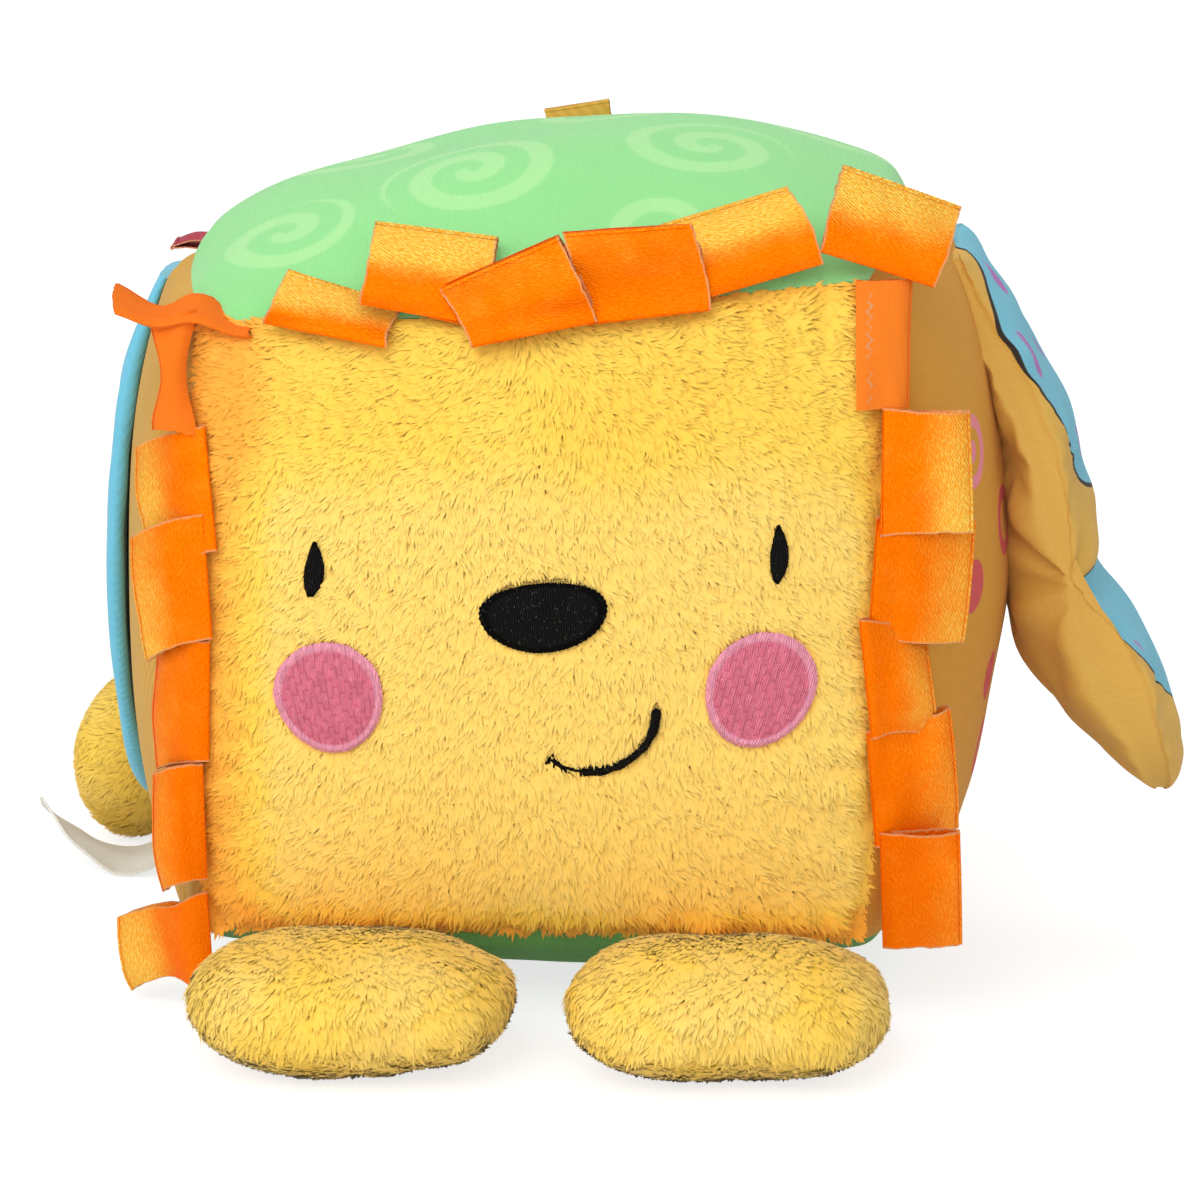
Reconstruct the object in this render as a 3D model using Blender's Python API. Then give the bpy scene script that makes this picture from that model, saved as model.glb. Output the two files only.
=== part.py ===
"""A soft fabric block: a stuffed cube with a plush lion face, a mane of ribbon tabs, two feet and a tail.

Metres, +Z up. The face looks along -Y, +X is at the right of someone who looks at the face, and the
origin is the middle of the flat on which the block rests.
"""

import math

import bmesh
import bpy
from mathutils import Matrix, Vector

# The block, from seam to seam
BLOCK_WIDTH = 0.132
BLOCK_DEPTH = 0.132
BLOCK_HEIGHT = 0.136

# How far the stuffing swells each panel past its seams
FACE_CROWN = 0.014
BACK_CROWN = 0.024
LEFT_CROWN = 0.0220
RIGHT_CROWN = 0.0280
TOP_CROWN = 0.0275
BOTTOM_CROWN = 0.0180
CROWN_FULLNESS = 0.75

# How the stuffing bends the seams, and how far the block has slumped on its left
WIDTH_SEAM_BOW = 0.0035
DEPTH_SEAM_BOW = 0.0080
HEIGHT_SEAM_BOW = 0.0040
FRONT_HEM_LIFT = 0.0055
FRONT_BROW_DIP = 0.0050
LEFT_FRONT_DROP = 0.010
LEFT_REAR_DROP = 0.022

# The cover: each panel is cloth on its backing of wadding
COVER_THICKNESS = 0.0025
PANEL_GAP = 0.0003
SEAM_GAP = 0.0005
REST_FLAT_DEPTH = 0.0005
PANEL_CELLS = 10
EDGE_CELL_SHARE = 0.8
SHARP_EDGE_DEGREES = 50.0

# A ribbon tab of the mane: a folded ribbon, sewn in by its two ends
RIBBON_WIDTH = 0.025
RIBBON_LENGTH = 0.0185
LEFT_RIBBON_LENGTH = 0.0150
RIBBON_ROOT_THICKNESS = 0.0016
RIBBON_FOLD_THICKNESS = 0.0036
RIBBON_RIM_THICKNESS = 0.0008
RIBBON_LAYER_GAP = 0.0005
RIBBON_BELLY_SHARE = 0.75
TAB_COLUMNS = 4
TAB_ROWS = 6

# The mane: the layer of each tab, 0 the rearmost, and how many degrees it leans back
TOP_TAB_SPACING = 0.0205
SIDE_TAB_SPACING = 0.0204
SIDE_ROW_DROP = 0.0035
TOP_TABS = ((1, -4), (0, 9), (2, -14), (1, -3), (0, 10))
LEFT_TABS = ((1, 27), (0, 39), (1, 26), (0, 38), (1, 27), (0, 39))
RIGHT_TABS = ((0, 16), (1, 3), (0, 15), (1, 2), (0, 14), (1, 3))

# The two tabs at the upper corners of the face, with their turn from upright and their lean back
CORNER_ROOT_WIDTH = 0.013
CORNER_TAB_LENGTH = 0.0195
LEFT_CORNER_TURN_DEGREES = 16.0
LEFT_CORNER_LEAN_DEGREES = 66.0
RIGHT_CORNER_TURN_DEGREES = 26.0
RIGHT_CORNER_LEAN_DEGREES = 2.0

# The red tab and the yellow loop at the rear of the top
RED_TAB_WIDTH = 0.014
RED_TAB_ROOT_WIDTH = 0.007
RED_TAB_LENGTH = 0.018
RED_TAB_RISE_DEGREES = 27.0
REAR_LOOP_WIDTH = 0.020
REAR_LOOP_LENGTH = 0.017

# The feet: flat stuffed plush pads, sewn to the front hem
FOOT_WIDTH = 0.067
FOOT_LENGTH = 0.047
FOOT_THICKNESS = 0.0285
FOOT_SPACING = 0.0735
FOOT_HEM_THICKNESS = 0.006
FOOT_OUTLINE_POWER = 2.5
FOOT_TAPER_POWER = 3

# The tail: a stuffed plush egg on a narrow neck, sewn into the rear left seam
TAIL_LENGTH = 0.050
TAIL_WIDTH = 0.038
TAIL_HEIGHT = 0.037
TAIL_NECK_THICKNESS = 0.009
TAIL_TURN_DEGREES = 26.0
TAIL_TAPER_POWER = 2.5

# The thick flap on the right side: a stuffed wing that hangs from the top seam
WING_LENGTH_SHARE = 0.76
WING_DEPTH = 0.060
WING_ROOT_DEPTH = 0.044
WING_THICKNESS = 0.0190
WING_ROOT_THICKNESS = 0.007
WING_KICK = 0.027
WING_TWIST = 0.004
WING_SWELL_SHARE = 0.28
WING_CREASE_SHARE = 0.58
WING_CREASE_DEPTH_SHARE = 0.28
WING_CREASE_REACH_SHARE = 0.07
WING_WIDENING_SHARE = 0.40
WING_TIP_SHARE = 0.28
WING_TAPER_SHARE = 0.40
WING_OUTLINE_POWER = 2.2
WING_KICK_SHARE = 0.55
WING_COLUMNS = 8
WING_ROWS = 14

# The thin flap on the left side: a pad that lies flat on the panel
PAD_DEPTH = 0.066
PAD_ROOT_DEPTH = 0.052
PAD_THICKNESS = 0.0040
PAD_ROOT_THICKNESS = 0.0022
PAD_TOP_SHARE = 0.06
PAD_LENGTH_SHARE = 0.70
PAD_GAP = 0.0006
PAD_SWELL_SHARE = 0.20
PAD_WIDENING_SHARE = 0.50
PAD_TAPER_SHARE = 0.56
PAD_RIM_SHARE = 0.40
PAD_OUTLINE_POWER = 2.4
PAD_RIM_POWER = 6
PAD_COLUMNS = 8
PAD_ROWS = 12

# What the narrowing of a flap leaves of its end, so that it stays one closed body
RIM_SHARE = 0.005

# The blank cloth label at the rear left
LABEL_WIDTH = 0.018
LABEL_LENGTH = 0.042
LABEL_THICKNESS = 0.0008
LABEL_REAR_INSET = 0.028
LABEL_TURN_DEGREES = 3.0
LABEL_CURL = 0.013
LABEL_FALL_SHARE = 0.55
LABEL_CURL_SHARE = 0.50
LABEL_COLUMNS = 2
LABEL_ROWS = 12

# How far what is sewn on the front stands to the right of the middle
FRONT_SHIFT = 0.0024

# The embroidery, raised on the face
STITCH_THICKNESS = 0.0010
STITCH_CELLS = 8
NOSE_WIDTH = 0.0230
NOSE_HEIGHT = 0.0145
NOSE_RISE = 0.0050
EYE_WIDTH = 0.0040
EYE_HEIGHT = 0.0116
EYE_SPACING = 0.0860
EYE_RISE = 0.0152
CHEEK_WIDTH = 0.0200
CHEEK_HEIGHT = 0.0230
CHEEK_SPACING = 0.0800
CHEEK_DROP = 0.0118
CHEEK_SLANT_DEGREES = 8.0
SMILE_RADIUS = 0.0120
SMILE_CENTRE_X = 0.0088
SMILE_DROP = 0.0156
SMILE_START_DEGREES = -132.0
SMILE_END_DEGREES = 2.0
SMILE_THIN = 0.0016
SMILE_THICK = 0.0027
SMILE_COLUMNS = 2
SMILE_ROWS = 14

HALF = Vector((BLOCK_WIDTH, BLOCK_DEPTH, BLOCK_HEIGHT)) / 2
CENTRE = Vector((0, 0, HALF.z + BOTTOM_CROWN - REST_FLAT_DEPTH))
INNER_SCALE = 1 - COVER_THICKNESS / min(HALF)
CORE_SCALE = 1 - (COVER_THICKNESS + PANEL_GAP) / min(HALF)
RIGHT = Vector((1, 0, 0))
REAR = Vector((0, 1, 0))
UP = Vector((0, 0, 1))

# Colour and roughness of each cloth
CLOTHS = {
    "plush_yellow": ((0.92, 0.58, 0.13), 0.95),
    "satin_orange": ((1.00, 0.24, 0.01), 0.38),
    "cloth_green": ((0.36, 0.85, 0.30), 0.85),
    "cloth_yellow": ((0.68, 0.40, 0.07), 0.85),
    "cloth_blue": ((0.14, 0.55, 0.72), 0.80),
    "satin_red": ((0.55, 0.04, 0.09), 0.45),
    "cloth_white": ((0.78, 0.76, 0.70), 0.85),
    "stitch_black": ((0.012, 0.011, 0.012), 0.45),
    "stitch_pink": ((0.70, 0.10, 0.25), 0.42),
    "stuffing": ((0.86, 0.86, 0.84), 0.98),
}


def clear_scene():
    """Removes every object of the open scene."""
    for item in list(bpy.data.objects):
        bpy.data.objects.remove(item, do_unlink=True)


def cloth(name):
    """Returns the material of a cloth, made on its first use."""
    material = bpy.data.materials.get(name)
    if material:
        return material
    colour, roughness = CLOTHS[name]
    material = bpy.data.materials.new(name)
    material.use_nodes = True
    shader = material.node_tree.nodes["Principled BSDF"]
    shader.inputs["Base Color"].default_value = (*colour, 1)
    shader.inputs["Roughness"].default_value = roughness
    shader.inputs["Metallic"].default_value = 0
    return material


def face_outwards(bm):
    """Turns all the faces of a closed mesh outwards."""
    bmesh.ops.recalc_face_normals(bm, faces=bm.faces)
    if bm.calc_volume(signed=True) < 0:
        bmesh.ops.reverse_faces(bm, faces=bm.faces)


def finish(name, bm, material, pivot=None):
    """Makes the object of a mesh built in world space, with its origin at the pivot."""
    face_outwards(bm)
    mesh = bpy.data.meshes.new(name)
    bm.to_mesh(mesh)
    bm.free()
    mesh.shade_smooth()
    mesh.set_sharp_from_angle(angle=math.radians(SHARP_EDGE_DEGREES))
    mesh.materials.append(cloth(material))
    item = bpy.data.objects.new(name, mesh)
    if pivot is not None:
        mesh.transform(Matrix.Translation(-pivot))
        item.location = pivot
    PARTS.objects.link(item)
    return item


def closed_sheet(name, columns, rows, place, material, pivot=None):
    """Makes a sheet with two skins: place gives a point for (across, along, skin), each from -1 to 1."""
    bm = bmesh.new()
    bmesh.ops.create_grid(bm, x_segments=columns, y_segments=rows, size=1)
    front = list(bm.verts)
    copied = bmesh.ops.extrude_face_region(bm, geom=list(bm.faces))
    back = [item for item in copied["geom"] if isinstance(item, bmesh.types.BMVert)]
    for skin, verts in ((1, front), (-1, back)):
        for vert in verts:
            vert.co = place(vert.co.x, vert.co.y, skin)
    return finish(name, bm, material, pivot)


def stuffed_ball(name, place, material, pivot, rings=12, sides=20):
    """Makes a stuffed piece from a ball whose points place moves, cut flat where it meets the floor."""
    bm = bmesh.new()
    bmesh.ops.create_uvsphere(bm, u_segments=sides, v_segments=rings, radius=1)
    for vert in bm.verts:
        vert.co = place(*vert.co)
    cut_flat(bm)
    return finish(name, bm, material, pivot)


def cut_flat(bm):
    """Cuts off what reaches under the floor and closes the cut with a flat face."""
    geometry = list(bm.verts) + list(bm.edges) + list(bm.faces)
    cut = bmesh.ops.bisect_plane(
        bm, geom=geometry, dist=PANEL_GAP / 100, plane_co=(0, 0, 0), plane_no=-UP, clear_outer=True
    )
    rim = [item for item in cut["geom_cut"] if isinstance(item, bmesh.types.BMEdge)]
    bmesh.ops.edgeloop_fill(bm, edges=rim)


def smooth_step(share):
    """Eases from 0 to 1 as the share goes from 0 to 1."""
    share = min(max(share, 0), 1)
    return share * share * (3 - 2 * share)


def rounded_end(s, end_share, power):
    """Returns what is left of a full size at s, from 0 to 1, where the end share of it rounds off."""
    return math.sqrt(max(0, 1 - max(0, (s - 1 + end_share) / end_share) ** power))


def block_point(a, b, c):
    """Returns the point of the stuffed surface for cube coordinates from -1 to 1, one of them at an end."""
    cube = (a, b, c)
    crowns = (
        LEFT_CROWN if a < 0 else RIGHT_CROWN,
        FACE_CROWN if b < 0 else BACK_CROWN,
        TOP_CROWN if c > 0 else BOTTOM_CROWN,
    )
    bows = (WIDTH_SEAM_BOW, DEPTH_SEAM_BOW, HEIGHT_SEAM_BOW)
    point = CENTRE.copy()
    for axis in range(3):
        here, second, third = cube[axis], cube[axis - 1] ** 2, cube[axis - 2] ** 2
        bow = bows[axis - 2] * second * (1 - third) + bows[axis - 1] * third * (1 - second)
        point[axis] += here * (HALF[axis] + bow)
        if abs(here) == 1:
            point[axis] += here * crowns[axis] * ((1 - second) * (1 - third)) ** CROWN_FULLNESS
    low_front = max(0, -b) ** 2 * max(0, -c) ** 2
    high_front = max(0, -b) ** 2 * max(0, c) ** 2
    point.z += (FRONT_HEM_LIFT * low_front - FRONT_BROW_DIP * high_front) * (1 - a * a)
    front_share = (1 - b) / 2
    drop = LEFT_FRONT_DROP * front_share + LEFT_REAR_DROP * (1 - front_share)
    point.z -= drop * (1 - a) / 2 * (1 + c) / 2
    return point


def surface_normal(a, b, c):
    """Returns the direction straight out of the stuffed surface, for cube coordinates inside one face."""
    cube = (a, b, c)
    step = PANEL_GAP / min(HALF)
    level = max(range(3), key=lambda axis: abs(cube[axis]))
    slopes = []
    for axis in range(3):
        if axis != level:
            moved = list(cube)
            moved[axis] -= math.copysign(step, cube[axis])
            slopes.append(block_point(*moved) - block_point(*cube))
    normal = slopes[0].cross(slopes[1]).normalized()
    return -normal if normal.dot(block_point(*cube) - CENTRE) < 0 else normal


def spread(share):
    """Moves the cell borders of a panel towards its seams, where it bends the most."""
    return (1 - EDGE_CELL_SHARE) * share + EDGE_CELL_SHARE * math.sin(math.pi / 2 * share)


def split_alike(item):
    """Splits each cell along its shorter diagonal, so that a panel and what lies under it bend alike."""
    splitting = item.modifiers.new("Split cells", "TRIANGULATE")
    splitting.quad_method = "SHORTEST_DIAGONAL"


def scaled(point, scale):
    """Moves a point of the stuffed surface towards the middle of the block."""
    return CENTRE + (point - CENTRE) * scale


def panel(name, corner_of, material):
    """Makes one panel of the cover: corner_of turns (across, along) into cube coordinates."""
    reach = 1 - SEAM_GAP / min(BLOCK_WIDTH, BLOCK_DEPTH, BLOCK_HEIGHT)

    def place(u, v, skin):
        point = block_point(*corner_of(spread(u) * reach, spread(v) * reach))
        return scaled(point, 1 if skin > 0 else INNER_SCALE)

    item = closed_sheet(name, PANEL_CELLS, PANEL_CELLS, place, material)
    bm = bmesh.new()
    bm.from_mesh(item.data)
    if min(vert.co.z for vert in bm.verts) < 0:
        cut_flat(bm)
        face_outwards(bm)
        bm.to_mesh(item.data)
    bm.free()
    split_alike(item)


def make_cover():
    """Makes the six panels of the cover."""
    panel("face_panel", lambda u, v: (u, -1, v), "plush_yellow")
    panel("back_panel", lambda u, v: (u, 1, v), "cloth_yellow")
    panel("left_side_panel", lambda u, v: (-1, u, v), "cloth_yellow")
    panel("right_side_panel", lambda u, v: (1, u, v), "cloth_yellow")
    panel("top_panel", lambda u, v: (u, v, 1), "cloth_green")
    panel("bottom_panel", lambda u, v: (u, v, -1), "cloth_green")


def make_core():
    """Makes the stuffing that fills the cover."""
    bm = bmesh.new()
    bmesh.ops.create_cube(bm, size=2)
    bmesh.ops.subdivide_edges(bm, edges=bm.edges, cuts=PANEL_CELLS - 1, use_grid_fill=True)
    for vert in bm.verts:
        cube = [round(spread(value), 6) for value in vert.co]
        vert.co = scaled(block_point(*cube), CORE_SCALE)
    split_alike(finish("core_stuffing", bm, "stuffing"))


def seam_frame(a, b, c, along):
    """Returns a seam's point and its direction there; along is the axis, 0 to 2, that the seam follows."""
    step = SEAM_GAP / BLOCK_WIDTH
    ends = []
    for sign in (-1, 1):
        cube = [a, b, c]
        cube[along] += sign * step
        ends.append(block_point(*cube))
    return block_point(a, b, c), (ends[1] - ends[0]).normalized()


def sewn_tab(name, root, across, out, sizes, material, bend=0.0, wave=0.0):
    """Makes a folded tab that is sewn in at its root.

    root is the middle of its sewn end and across the direction of its width; out is the direction
    that it stands in. sizes are its root width, end width, length, root thickness and fold
    thickness; bend moves its end sideways, and wave ripples it across its width.
    """
    root_width, end_width, length, root_thickness, fold_thickness = sizes
    out = (out - across * out.dot(across)).normalized()
    face = across.cross(out)

    def place(u, v, skin):
        s = (v + 1) / 2
        width = root_width + (end_width - root_width) * smooth_step(s)
        swell = smooth_step(s / RIBBON_BELLY_SHARE)
        belly = root_thickness + (fold_thickness - root_thickness) * swell
        thickness = max(belly * rounded_end(s, 1 - RIBBON_BELLY_SHARE, 2), RIBBON_RIM_THICKNESS)
        side_step = bend * s * s + wave * math.sin(math.pi * u) * s
        point = root + across * (u * width / 2) + out * (s * length)
        return point + face * (side_step + skin * thickness / 2)

    return closed_sheet(name, TAB_COLUMNS, TAB_ROWS, place, material, root)


def turned(direction, axis, degrees):
    """Returns a direction turned about an axis."""
    return Matrix.Rotation(math.radians(degrees), 3, axis) @ direction


def mane_root(cube, outward, out, across, layer):
    """Returns where a tab's root stands clear of its seam: layer 0 is the rearmost, others lie before it."""
    off_ridge = RIBBON_ROOT_THICKNESS / 2 + PANEL_GAP
    root = block_point(*cube) + (outward - REAR).normalized() * off_ridge
    forward = out.cross(across).normalized()
    if forward.dot(REAR) > 0:
        forward = -forward
    return root + forward * (layer * (RIBBON_ROOT_THICKNESS + RIBBON_LAYER_GAP))


def mane_tab(name, cube, outward, across, lean, layer, sizes, wave=0.0):
    """Makes one ribbon tab of the mane on the seam point of the cube coordinates."""
    out = turned(outward, across, lean)
    root = mane_root(cube, outward, out, across, layer)
    sewn_tab(name, root, across, out, sizes, "satin_orange", wave=wave)


def ribbon_sizes(root_width, length):
    """Returns the sizes of a ribbon tab, for sewn_tab."""
    return (root_width, RIBBON_WIDTH, length, RIBBON_ROOT_THICKNESS, RIBBON_FOLD_THICKNESS)


def make_mane():
    """Makes the ribbon tabs along the top and both sides of the face, and at its upper corners."""
    ribbon = ribbon_sizes(RIBBON_WIDTH, RIBBON_LENGTH)
    for index, (layer, lean) in enumerate(TOP_TABS):
        place = (index - (len(TOP_TABS) - 1) / 2) * TOP_TAB_SPACING
        cube = (place / HALF.x, -1, 1)
        across = seam_frame(*cube, 0)[1]
        mane_tab(f"mane_tab_top_{index + 1}", cube, UP, across, -lean, layer, ribbon)
    short_ribbon = ribbon_sizes(RIBBON_WIDTH, LEFT_RIBBON_LENGTH)
    for side, hand, row, sizes in (
        ("left", -1, LEFT_TABS, short_ribbon),
        ("right", 1, RIGHT_TABS, ribbon),
    ):
        for index, (layer, lean) in enumerate(row):
            place = ((len(row) - 1) / 2 - index) * SIDE_TAB_SPACING - SIDE_ROW_DROP
            cube = (hand, -1, place / HALF.z)
            across = seam_frame(*cube, 2)[1]
            name = f"mane_tab_{side}_{index + 1}"
            mane_tab(name, cube, RIGHT * hand, across, lean * hand, layer, sizes)
    corner = ribbon_sizes(CORNER_ROOT_WIDTH, CORNER_TAB_LENGTH)
    for side, hand, turn, lean, wave in (
        ("left", -1, LEFT_CORNER_TURN_DEGREES, LEFT_CORNER_LEAN_DEGREES, RIBBON_FOLD_THICKNESS / 2),
        ("right", 1, RIGHT_CORNER_TURN_DEGREES, RIGHT_CORNER_LEAN_DEGREES, 0),
    ):
        outward = turned(UP, REAR, turn * hand)
        across = turned(RIGHT, REAR, turn * hand)
        mane_tab(f"mane_tab_corner_{side}", (hand, -1, 1), outward, across, -lean, 0, corner, wave)


def make_rear_tabs():
    """Makes the red tab at the rear left corner of the top and the loop behind its middle."""
    off_ridge = RIBBON_ROOT_THICKNESS / 2 + PANEL_GAP + SEAM_GAP
    red = (
        RED_TAB_ROOT_WIDTH,
        RED_TAB_WIDTH,
        RED_TAB_LENGTH,
        RIBBON_ROOT_THICKNESS,
        RIBBON_FOLD_THICKNESS,
    )
    root = block_point(-1, 1, 1) + (UP - RIGHT + REAR).normalized() * off_ridge
    out = turned(-RIGHT, REAR, RED_TAB_RISE_DEGREES)
    sewn_tab("red_tab", root, REAR, out, red, "satin_red", bend=RIBBON_FOLD_THICKNESS)
    loop = (
        REAR_LOOP_WIDTH,
        REAR_LOOP_WIDTH,
        REAR_LOOP_LENGTH,
        RIBBON_ROOT_THICKNESS,
        RIBBON_FOLD_THICKNESS,
    )
    seam, across = seam_frame(0, 1, 1, 0)
    root = seam + (UP + REAR).normalized() * off_ridge
    sewn_tab("rear_loop", root, across, UP, loop, "cloth_yellow")


def make_foot(name, hand):
    """Makes one foot: a flat pad that narrows to the hem that it is sewn to."""
    middle_x = FRONT_SHIFT + hand * FOOT_SPACING / 2
    hem = block_point(middle_x / HALF.x, -1, -1)
    root = hem - REAR * (PANEL_GAP + SEAM_GAP)
    middle_z = FOOT_THICKNESS / 2 - REST_FLAT_DEPTH

    def place(x, y, z):
        plan = math.hypot(x, y)
        if plan > 0:
            n = FOOT_OUTLINE_POWER
            fuller = plan / (abs(x) ** n + abs(y) ** n) ** (1 / n)
            x, y = x * fuller, y * fuller
        rear = (y + 1) / 2
        thin = 1 - (1 - FOOT_HEM_THICKNESS / FOOT_THICKNESS) * rear**FOOT_TAPER_POWER
        rise = (root.z - middle_z) * rear**FOOT_TAPER_POWER
        return Vector((
            middle_x + x * FOOT_WIDTH / 2,
            root.y - (1 - rear) * FOOT_LENGTH,
            middle_z + rise + z * thin * FOOT_THICKNESS / 2,
        ))

    return stuffed_ball(name, place, "plush_yellow", root)


def make_tail():
    """Makes the tail, which lies on the floor behind the left side."""
    seam = block_point(-1, 1, -1 + (TAIL_HEIGHT / 2) / HALF.z)
    away = turned(-RIGHT, UP, -TAIL_TURN_DEGREES)
    across = turned(REAR, UP, -TAIL_TURN_DEGREES)
    root = seam + (away + REAR).normalized() * (PANEL_GAP + SEAM_GAP)
    middle_z = TAIL_HEIGHT / 2 - REST_FLAT_DEPTH

    def place(x, y, z):
        near = (1 - y) / 2
        thin = 1 - (1 - TAIL_NECK_THICKNESS / TAIL_HEIGHT) * near**TAIL_TAPER_POWER
        rise = (root.z - middle_z) * near**TAIL_TAPER_POWER
        point = root + away * ((1 - near) * TAIL_LENGTH) + across * (x * thin * TAIL_WIDTH / 2)
        point.z = middle_z + rise + z * thin * TAIL_HEIGHT / 2
        return point

    return stuffed_ball("tail", place, "plush_yellow", root)


def wing_thickness(s):
    """Returns how thick the wing is at a share of its length, thinner at its crease and its tip."""
    swell = smooth_step(s / WING_SWELL_SHARE)
    full = WING_ROOT_THICKNESS + (WING_THICKNESS - WING_ROOT_THICKNESS) * swell
    near_crease = math.exp(-(((s - WING_CREASE_SHARE) / WING_CREASE_REACH_SHARE) ** 2))
    return full * (1 - WING_CREASE_DEPTH_SHARE * near_crease) * rounded_end(s, WING_TIP_SHARE, 2)


def wing_spine(s):
    """Returns the middle of the wing at a share of its length: it follows the side, then kicks out."""
    cube = (1, 0, 1 - WING_ROOT_THICKNESS / HALF.z - 2 * s * WING_LENGTH_SHARE)
    kick = WING_KICK * smooth_step((s - 1 + WING_KICK_SHARE) / WING_KICK_SHARE)
    offset = PANEL_GAP + PAD_GAP + wing_thickness(min(s, 1 - WING_TIP_SHARE)) / 2
    return block_point(*cube) + surface_normal(*cube) * offset + RIGHT * kick


def make_right_wing():
    """Makes the stuffed wing that hangs from the top seam and leans on the bulge of the right side."""
    step = RIM_SHARE

    def place(u, v, skin):
        s = (v + 1) / 2
        widened = smooth_step(s / WING_WIDENING_SHARE)
        depth = WING_ROOT_DEPTH + (WING_DEPTH - WING_ROOT_DEPTH) * widened
        depth *= rounded_end(s * (1 - RIM_SHARE), WING_TAPER_SHARE, WING_OUTLINE_POWER)
        half = max(wing_thickness(s) * math.sqrt(1 - u * u), RIBBON_RIM_THICKNESS) / 2
        along = (wing_spine(s + step) - wing_spine(s - step)).normalized()
        point = wing_spine(s) + REAR.cross(along) * (-skin * half) + RIGHT * (WING_TWIST * u * s)
        point.y = u * depth / 2
        return point

    return closed_sheet("right_wing", WING_COLUMNS, WING_ROWS, place, "cloth_yellow", wing_spine(0))


def make_left_pad():
    """Makes the thin pad that hangs from the top of the left side and lies on the panel."""
    top_share = 1 - PAD_TOP_SHARE

    def place(u, v, skin):
        s = (v + 1) / 2
        widened = smooth_step(s / PAD_WIDENING_SHARE)
        depth = PAD_ROOT_DEPTH + (PAD_DEPTH - PAD_ROOT_DEPTH) * widened
        depth *= rounded_end(s * (1 - RIM_SHARE), PAD_TAPER_SHARE, PAD_OUTLINE_POWER)
        cube = (-1, u * depth / BLOCK_DEPTH, top_share - 2 * s * PAD_LENGTH_SHARE)
        swell = smooth_step(s / PAD_SWELL_SHARE)
        full = PAD_ROOT_THICKNESS + (PAD_THICKNESS - PAD_ROOT_THICKNESS) * swell
        rim = max(abs(u), max(0, 2 * s - 1)) ** PAD_RIM_POWER
        thickness = full * (1 - (1 - PAD_RIM_SHARE) * rim)
        return block_point(*cube) + surface_normal(*cube) * (PAD_GAP + (thickness if skin > 0 else 0))

    ends = [block_point(-1, hand * PAD_ROOT_DEPTH / BLOCK_DEPTH, top_share) for hand in (-1, 1)]
    pivot = (ends[0] + ends[1]) / 2 - RIGHT * PAD_GAP
    return closed_sheet("left_pad", PAD_COLUMNS, PAD_ROWS, place, "cloth_blue", pivot)


def make_label():
    """Makes the blank label, sewn into the lower left seam, which lies low and curls up at its end."""
    seam, across = seam_frame(-1, 1 - LABEL_REAR_INSET / HALF.y, -1, 1)
    root = seam - (RIGHT + UP).normalized() * (LABEL_THICKNESS / 2 + PANEL_GAP + SEAM_GAP)
    away = turned(-RIGHT, UP, -LABEL_TURN_DEGREES)
    fall_height = root.z - LABEL_THICKNESS - REST_FLAT_DEPTH

    def place(u, v, skin):
        s = (v + 1) / 2
        fall = fall_height * smooth_step(s / LABEL_FALL_SHARE)
        curl = LABEL_CURL * max(0, (s - 1 + LABEL_CURL_SHARE) / LABEL_CURL_SHARE) ** 2
        point = root + away * (s * LABEL_LENGTH) + across * (u * LABEL_WIDTH / 2)
        point.z = max(point.z + curl - fall, LABEL_THICKNESS) + skin * LABEL_THICKNESS / 2
        return point

    return closed_sheet("blank_label", LABEL_COLUMNS, LABEL_ROWS, place, "cloth_white", root)


def face_place(x, z, lift):
    """Returns a point over the face panel, x and z from the middle of its features and lift off it."""
    return block_point((x + FRONT_SHIFT) / HALF.x, -1, z / HALF.z) - REAR * lift


def stitched_oval(name, x, z, width, height, material, slant=0.0):
    """Makes an oval patch of satin stitch that follows the face."""
    turn = math.radians(slant)

    def place(u, v, skin):
        across = u * math.sqrt(1 - v * v / 2) * width / 2
        along = v * math.sqrt(1 - u * u / 2) * height / 2
        here_x = x + across * math.cos(turn) - along * math.sin(turn)
        here_z = z + across * math.sin(turn) + along * math.cos(turn)
        return face_place(here_x, here_z, PANEL_GAP + (STITCH_THICKNESS if skin > 0 else 0))

    return closed_sheet(name, STITCH_CELLS, STITCH_CELLS, place, material)


def make_smile():
    """Makes the one-sided smile, an arc of satin stitch that thickens to the right."""
    start = math.radians(SMILE_START_DEGREES)
    sweep = math.radians(SMILE_END_DEGREES) - start

    def place(u, v, skin):
        s = (v + 1) / 2
        angle = start + sweep * s
        width = SMILE_THIN + (SMILE_THICK - SMILE_THIN) * s
        radius = SMILE_RADIUS + u * width / 2
        x = SMILE_CENTRE_X + radius * math.cos(angle)
        z = radius * math.sin(angle) - SMILE_DROP
        return face_place(x, z, PANEL_GAP + (STITCH_THICKNESS if skin > 0 else 0))

    return closed_sheet("smile", SMILE_COLUMNS, SMILE_ROWS, place, "stitch_black")


def make_face_stitching():
    """Makes the eyes, nose, cheeks and smile."""
    stitched_oval("nose", 0, NOSE_RISE, NOSE_WIDTH, NOSE_HEIGHT, "stitch_black")
    for side, hand in (("left", -1), ("right", 1)):
        stitched_oval(
            f"{side}_eye", hand * EYE_SPACING / 2, EYE_RISE, EYE_WIDTH, EYE_HEIGHT, "stitch_black"
        )
        stitched_oval(
            f"{side}_cheek",
            hand * CHEEK_SPACING / 2,
            -CHEEK_DROP,
            CHEEK_WIDTH,
            CHEEK_HEIGHT,
            "stitch_pink",
            slant=-hand * CHEEK_SLANT_DEGREES,
        )
    make_smile()


clear_scene()
PARTS = bpy.data.collections.new("soft_fabric_block")
bpy.context.scene.collection.children.link(PARTS)
make_core()
make_cover()
make_face_stitching()
make_mane()
make_rear_tabs()
make_foot("left_foot", -1)
make_foot("right_foot", 1)
make_tail()
make_right_wing()
make_left_pad()
make_label()
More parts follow.
